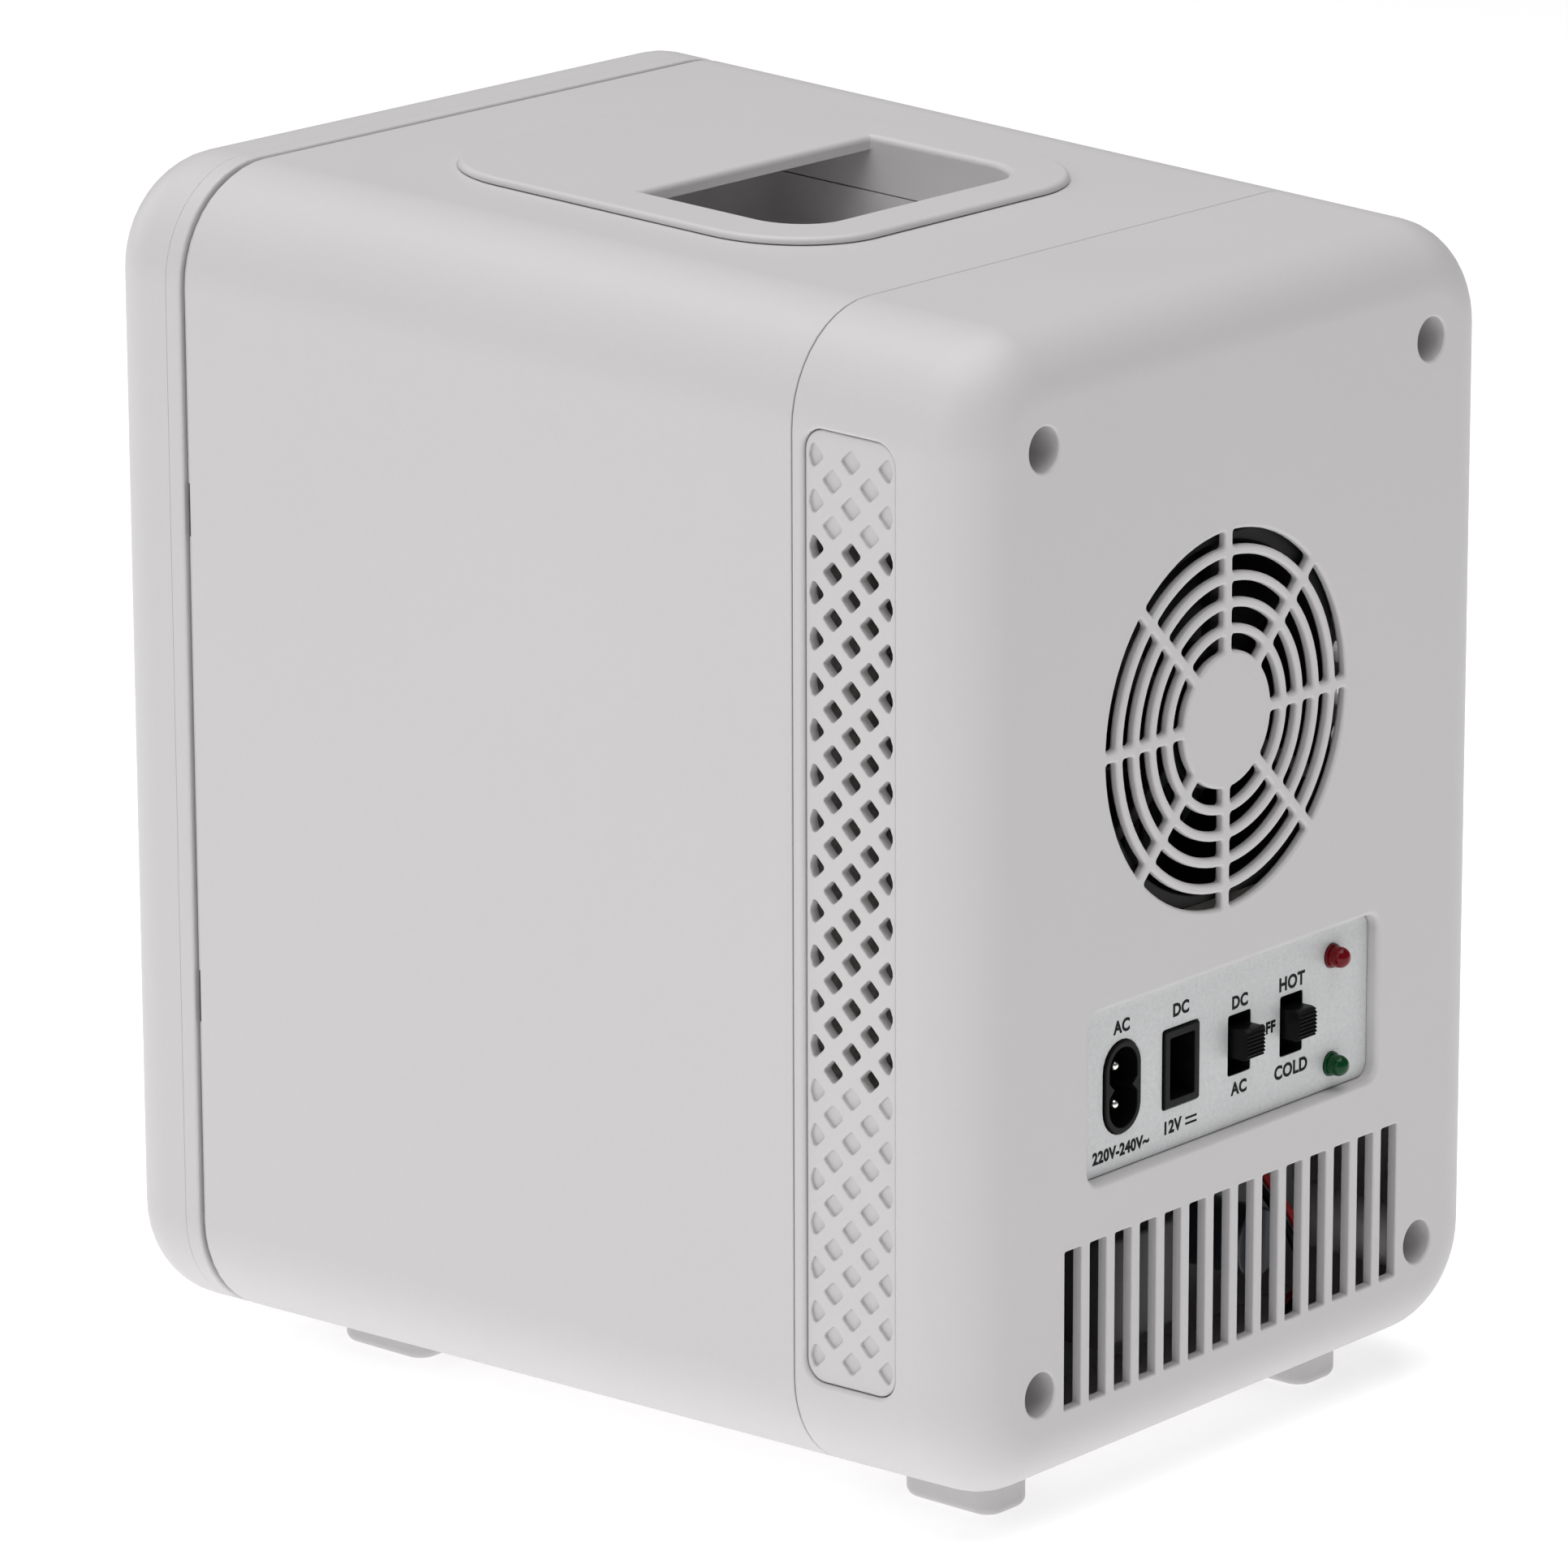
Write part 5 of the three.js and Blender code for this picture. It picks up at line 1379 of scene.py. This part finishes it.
class FRIDGE_OT_door(bpy.types.Operator):
    """Makes the door's outer shell, inner panel and gasket"""

    bl_idname = "fridge.door"
    bl_label = "Door"

    def execute(self, context):
        piece("door_skin", door_outer_shell(), "door", casing(), "casing", ["door_outer_shell"])
        piece("door_back", door_inner_panel(), "door", casing(), "casing", ["door_inner_panel"])
        rubber = finish("Gasket rubber", (0.5, 0.51, 0.52), 0.6, 0.2, 0.04)
        piece("door_seal", door_gasket(), "door", rubber, "gasket_grey", ["door_gasket"])
        softened("door_rack", inner_white(), 0.7, 3)
        for node in ("catch_magnet_lower", "catch_magnet_upper"):
            softened(node, black(), 0.3)
        return {"FINISHED"}


class FRIDGE_OT_inside(bpy.types.Operator):
    """Makes the liner, and finishes the shelf, the inner fan's cover and the catches"""

    bl_idname = "fridge.inside"
    bl_label = "Inside"

    def execute(self, context):
        piece("tub", inner_liner(), "cabinet", inner_white(), "inner_white", ["inner_liner"])
        softened("shelf", inner_white(), 0.6, 3)
        softened("cold_fan_cover", inner_white(), 0.5, 3)
        dark_steel = finish("Blued steel", (0.05, 0.048, 0.047), 0.35, 0.1, 0.05, Metallic=0.6)
        for node in ("catch_strike_lower", "catch_strike_upper"):
            piece("tabbed_" + node, catch_strike(node), "cabinet", dark_steel, "steel", [node])
        dress(foam(), "cabinet_insulation", "door_insulation")
        return {"FINISHED"}


class FRIDGE_OT_hinges(bpy.types.Operator):
    """Finishes the hinge brackets and pins, and the screws"""

    bl_idname = "fridge.hinges"
    bl_label = "Hinges and screws"

    def execute(self, context):
        for where in ("lower", "upper"):
            softened("hinge_bracket_" + where, steel(), 0.4, 3)
            dress(steel(), "hinge_pin_" + where)
            for side in ("left", "right"):
                softened(f"screw_{where}_{side}", steel(), 0.15)
        return {"FINISHED"}


class FRIDGE_OT_fans(bpy.types.Operator):
    """Makes the rear fan and the small inner fan"""

    bl_idname = "fridge.fans"
    bl_label = "Fans"

    def execute(self, context):
        frame_parts, rotor = fan("fan_frame", "fan_rotor", 38.2, 15.6, 7, 42)
        piece("rear_fan_frame", frame_parts, "cabinet", deep_black(), "black_plastic", ["fan_frame"])
        piece("rear_fan_blades", rotor, "rear_fan", black(), "black_plastic", ["fan_rotor"])
        frame_parts, rotor = fan("cold_fan_frame", "cold_fan_rotor", 23.6, 10.6, 7, 34)
        piece("inner_fan_frame", frame_parts, "cabinet", deep_black(), "black_plastic", ["cold_fan_frame"])
        piece("inner_fan_blades", rotor, "inner_fan", deep_black(), "black_plastic", ["cold_fan_rotor"])
        return {"FINISHED"}


class FRIDGE_OT_electrics(bpy.types.Operator):
    """Finishes the cooling stack and the power board behind the slots"""

    bl_idname = "fridge.electrics"
    bl_label = "Electrics"

    def execute(self, context):
        dress(aluminium(), "cold_block", "cold_sink", "hot_sink")
        dress(finish("Ceramic", (0.8, 0.78, 0.72), 0.5, 0.1, 0.03), "peltier_element")
        dress(finish("Circuit board", (0.16, 0.17, 0.16), 0.45, 0.3, 0.1), "power_board")
        tape = finish("Winding tape", (0.05, 0.05, 0.055), 0.35, 0.1, 0.1)
        sleeve = finish("Shrink sleeve", (0.02, 0.022, 0.03), 0.25, 0.05, 0.1)
        softened("transformer", tape, 1.2, 3)
        softened("capacitor", sleeve, 0.8, 3)
        behind = span("power_board")[1][1]
        red = finish("Red sleeve", (0.42, 0.01, 0.015), 0.35, 0.1, 0.05)
        looks = {"fan_wire_red": (red, "red_wire"), "fan_wire_black": (black(), "black_plastic")}
        for node, path in WIRE_PATHS.items():
            route = np.array(path, float) + (0, behind, 0)
            piece("sleeved_" + node, [tube(route, 1.0)], "cabinet", *looks[node], [node])
        return {"FINISHED"}


class FRIDGE_OT_controls(bpy.types.Operator):
    """Makes the control plate, inlets, knobs, lamps and lettering"""

    bl_idname = "fridge.controls"
    bl_label = "Controls"

    def execute(self, context):
        face = back_face(PLATE_FACE_Y)
        outline = round_rect(CONTROL_SIZE[0] - 0.4, CONTROL_SIZE[1] - 0.4, 3.3, (CONTROL_X, CONTROL_Z), 8)
        plate = slab(face, outline, PLATE_HIGH[1] - PLATE_LOW[1], 0.12, control_windows(), 2)
        piece("control_face", plate, "cabinet", sparkle(), "control_silver", ["control_plate"])
        piece("mains_inlet", ac_inlet(), "cabinet", black(), "black_plastic", ["ac_inlet"])
        piece("low_voltage_inlet", dc_socket(), "cabinet", black(), "black_plastic", ["dc_socket"])
        for node in ("ac_pin_lower", "ac_pin_upper", "dc_pin_lower", "dc_pin_upper"):
            piece("contact_" + node, contact_pin(node), "cabinet", bright_pin(), "bright_pin", [node])
        dress(deep_black(), *SWITCH_BODIES)
        collar_y = PLATE_FACE_Y - 0.15
        for node in SWITCH_BODIES:
            opening = offset(switch_window(node), -0.08)
            collar = rim(back_face(collar_y), opening, 0, collar_y - span(node)[1][1], -1)
            piece("collar_" + node, [collar], "cabinet", deep_black(), "black_plastic")
        for node, body in (("power_switch_knob", "power_knob"), ("mode_switch_knob", "mode_knob")):
            piece("ribbed_" + node, slide_knob(node), body, black(), "black_plastic", [node])
        for node, colour in (("led_red", colours().red_lamp), ("led_green", colours().green_lamp)):
            glass = finish("Tinted lens " + node, colour, 0.05, 0.0, 0.0, Specular_IOR_Level=0.25)
            piece("lens_" + node, lamp(node), "cabinet", glass, node[4:] + "_lamp", [node])
        ink = finish("Printed ink", (0.004, 0.004, 0.0045), 0.45, 0.02, 0.1, Specular_IOR_Level=0.1)
        bars = [round_rect(4.0, 0.5, 0.1, (11.8, 80.6 + rise), 2) for rise in (-0.62, 0.62)]
        marks = [part for bar in bars for part in slab(back_face(PLATE_FACE_Y + 0.04), bar, 0.06, 0.01)]
        piece("lettering_direct_current", marks, "cabinet", ink, "black_plastic")
        for i, (words, x, z, height) in enumerate(LABELS):
            shown(f"lettering_{i + 1}", label_mesh(words, x, z, height), ink, "cabinet")
        return {"FINISHED"}


class FRIDGE_OT_feet(bpy.types.Operator):
    """Makes the four feet"""

    bl_idname = "fridge.feet"
    bl_label = "Feet"

    def execute(self, context):
        for end in ("front", "rear"):
            for side in ("left", "right"):
                node = f"foot_{end}_{side}"
                piece("moulded_" + node, foot(node), "cabinet", casing(), "casing", [node])
        return {"FINISHED"}


# ---------------------------------------------------------------- stage
LIGHTS = {  # place and side in metres, power in watts
    "key_light": ((2.6, 0.1, 1.5), 1.8, 15.5),
    "top_light": ((0.1, 0.1, 2.2), 2.4, 42),
    "fill_light": ((-0.7, 2.2, 0.9), 1.2, 0.4),
    "front_light": ((0.3, -2.2, 1.0), 1.6, 10),
}
LIT_POINT = Vector((0, 0, 0.13))
FLOOR_REACH = 300.0
CAMERA_ANGLES = 130.592, 15.653, -0.189  # azimuth, elevation and roll, in degrees
CAMERA_PLACE = 1.46867, 1.130973 + BACK_Y * MM, 0.672093
CAMERA_LENS = 207.62


def soft_light(name, place, side, power):
    """A square area light that faces the fridge."""
    data = bpy.data.lights.new(name, "AREA")
    data.shape = "RECTANGLE"
    data.size = data.size_y = side
    data.energy = power
    made = bpy.data.objects.new(name, data)
    made.location = place
    made.rotation_mode = "QUATERNION"
    made.rotation_quaternion = (Vector(place) - LIT_POINT).to_track_quat("Z", "Y")
    bpy.context.scene.collection.objects.link(made)


def studio_floor():
    """A wide pale floor that glows a little, so that it stays near white."""
    corners = [(x * FLOOR_REACH, y * FLOOR_REACH, 0) for x, y in ((-1, -1), (1, -1), (1, 1), (-1, 1))]
    mesh = bpy.data.meshes.new("studio_floor")
    mesh.from_pydata(corners, [], [(0, 1, 2, 3)])
    made, _, inputs = new_material("Pale floor", Roughness=0.9, Specular_IOR_Level=0.0, Emission_Strength=0.5)
    inputs["Base Color"].default_value = (0.9, 0.9, 0.9, 1)
    inputs["Emission Color"].default_value = (1, 1, 1, 1)
    mesh.materials.append(made)
    floor = bpy.data.objects.new("studio_floor", mesh)
    bpy.context.scene.collection.objects.link(floor)


def stage_camera():
    """The camera looks along the line given by its azimuth and elevation, and then rolls about that line."""
    data = bpy.data.cameras.new("camera")
    data.lens = CAMERA_LENS
    data.sensor_width = 36
    data.clip_start, data.clip_end = 0.05, 50
    camera = bpy.data.objects.new("camera", data)
    azimuth, elevation, roll = (math.radians(a) for a in CAMERA_ANGLES)
    level = math.cos(elevation)
    back = Vector((math.sin(azimuth) * level, -math.cos(azimuth) * level, math.sin(elevation)))
    right = Vector((0, 0, 1)).cross(back).normalized()
    up = back.cross(right)
    right, up = right * math.cos(roll) + up * math.sin(roll), up * math.cos(roll) - right * math.sin(roll)
    turn = Matrix((right, up, back)).transposed()
    camera.matrix_world = Matrix.Translation(CAMERA_PLACE) @ turn.to_4x4()
    bpy.context.scene.collection.objects.link(camera)
    bpy.context.scene.camera = camera


class FRIDGE_OT_stage(bpy.types.Operator):
    """Makes the pale floor, the soft studio lights and the camera"""

    bl_idname = "fridge.stage"
    bl_label = "Stage"

    def execute(self, context):
        studio_floor()
        world = bpy.data.worlds.new("Studio")
        context.scene.world = world
        world.use_nodes = True
        background = world.node_tree.nodes["Background"].inputs
        background["Color"].default_value = (1, 1, 1, 1)
        background["Strength"].default_value = 0.13
        for name, (place, side, power) in LIGHTS.items():
            soft_light(name, place, side, power)
        stage_camera()
        context.scene.view_settings.view_transform = "Standard"
        return {"FINISHED"}


OPERATORS = (
    FRIDGE_OT_shell,
    FRIDGE_OT_housing,
    FRIDGE_OT_vents,
    FRIDGE_OT_handle,
    FRIDGE_OT_door,
    FRIDGE_OT_inside,
    FRIDGE_OT_hinges,
    FRIDGE_OT_fans,
    FRIDGE_OT_electrics,
    FRIDGE_OT_controls,
    FRIDGE_OT_feet,
    FRIDGE_OT_stage,
)


class FRIDGE_PT_panel(bpy.types.Panel):
    """Lists the fridge's sizes, colours and pieces"""

    bl_idname = "FRIDGE_PT_panel"
    bl_label = "Mini fridge"
    bl_space_type = "VIEW_3D"
    bl_region_type = "UI"
    bl_category = "Fridge"

    def draw(self, context):
        for group in (context.scene.fridge_sizes, context.scene.fridge_colours):
            for name in group.__annotations__:
                self.layout.prop(group, name)
        for operator in OPERATORS:
            self.layout.operator(operator.bl_idname)


CLASSES = (FridgeSizes, FridgeColours, *OPERATORS, FRIDGE_PT_panel)


def register():
    for made in CLASSES:
        bpy.utils.register_class(made)
    bpy.types.Scene.fridge_sizes = PointerProperty(type=FridgeSizes)
    bpy.types.Scene.fridge_colours = PointerProperty(type=FridgeColours)


def unregister():
    del bpy.types.Scene.fridge_sizes
    del bpy.types.Scene.fridge_colours
    for made in reversed(CLASSES):
        bpy.utils.unregister_class(made)


def main():
    register()
    for operator in OPERATORS:
        getattr(bpy.ops.fridge, operator.bl_idname.split(".")[1])()


if __name__ == "__main__":
    main()
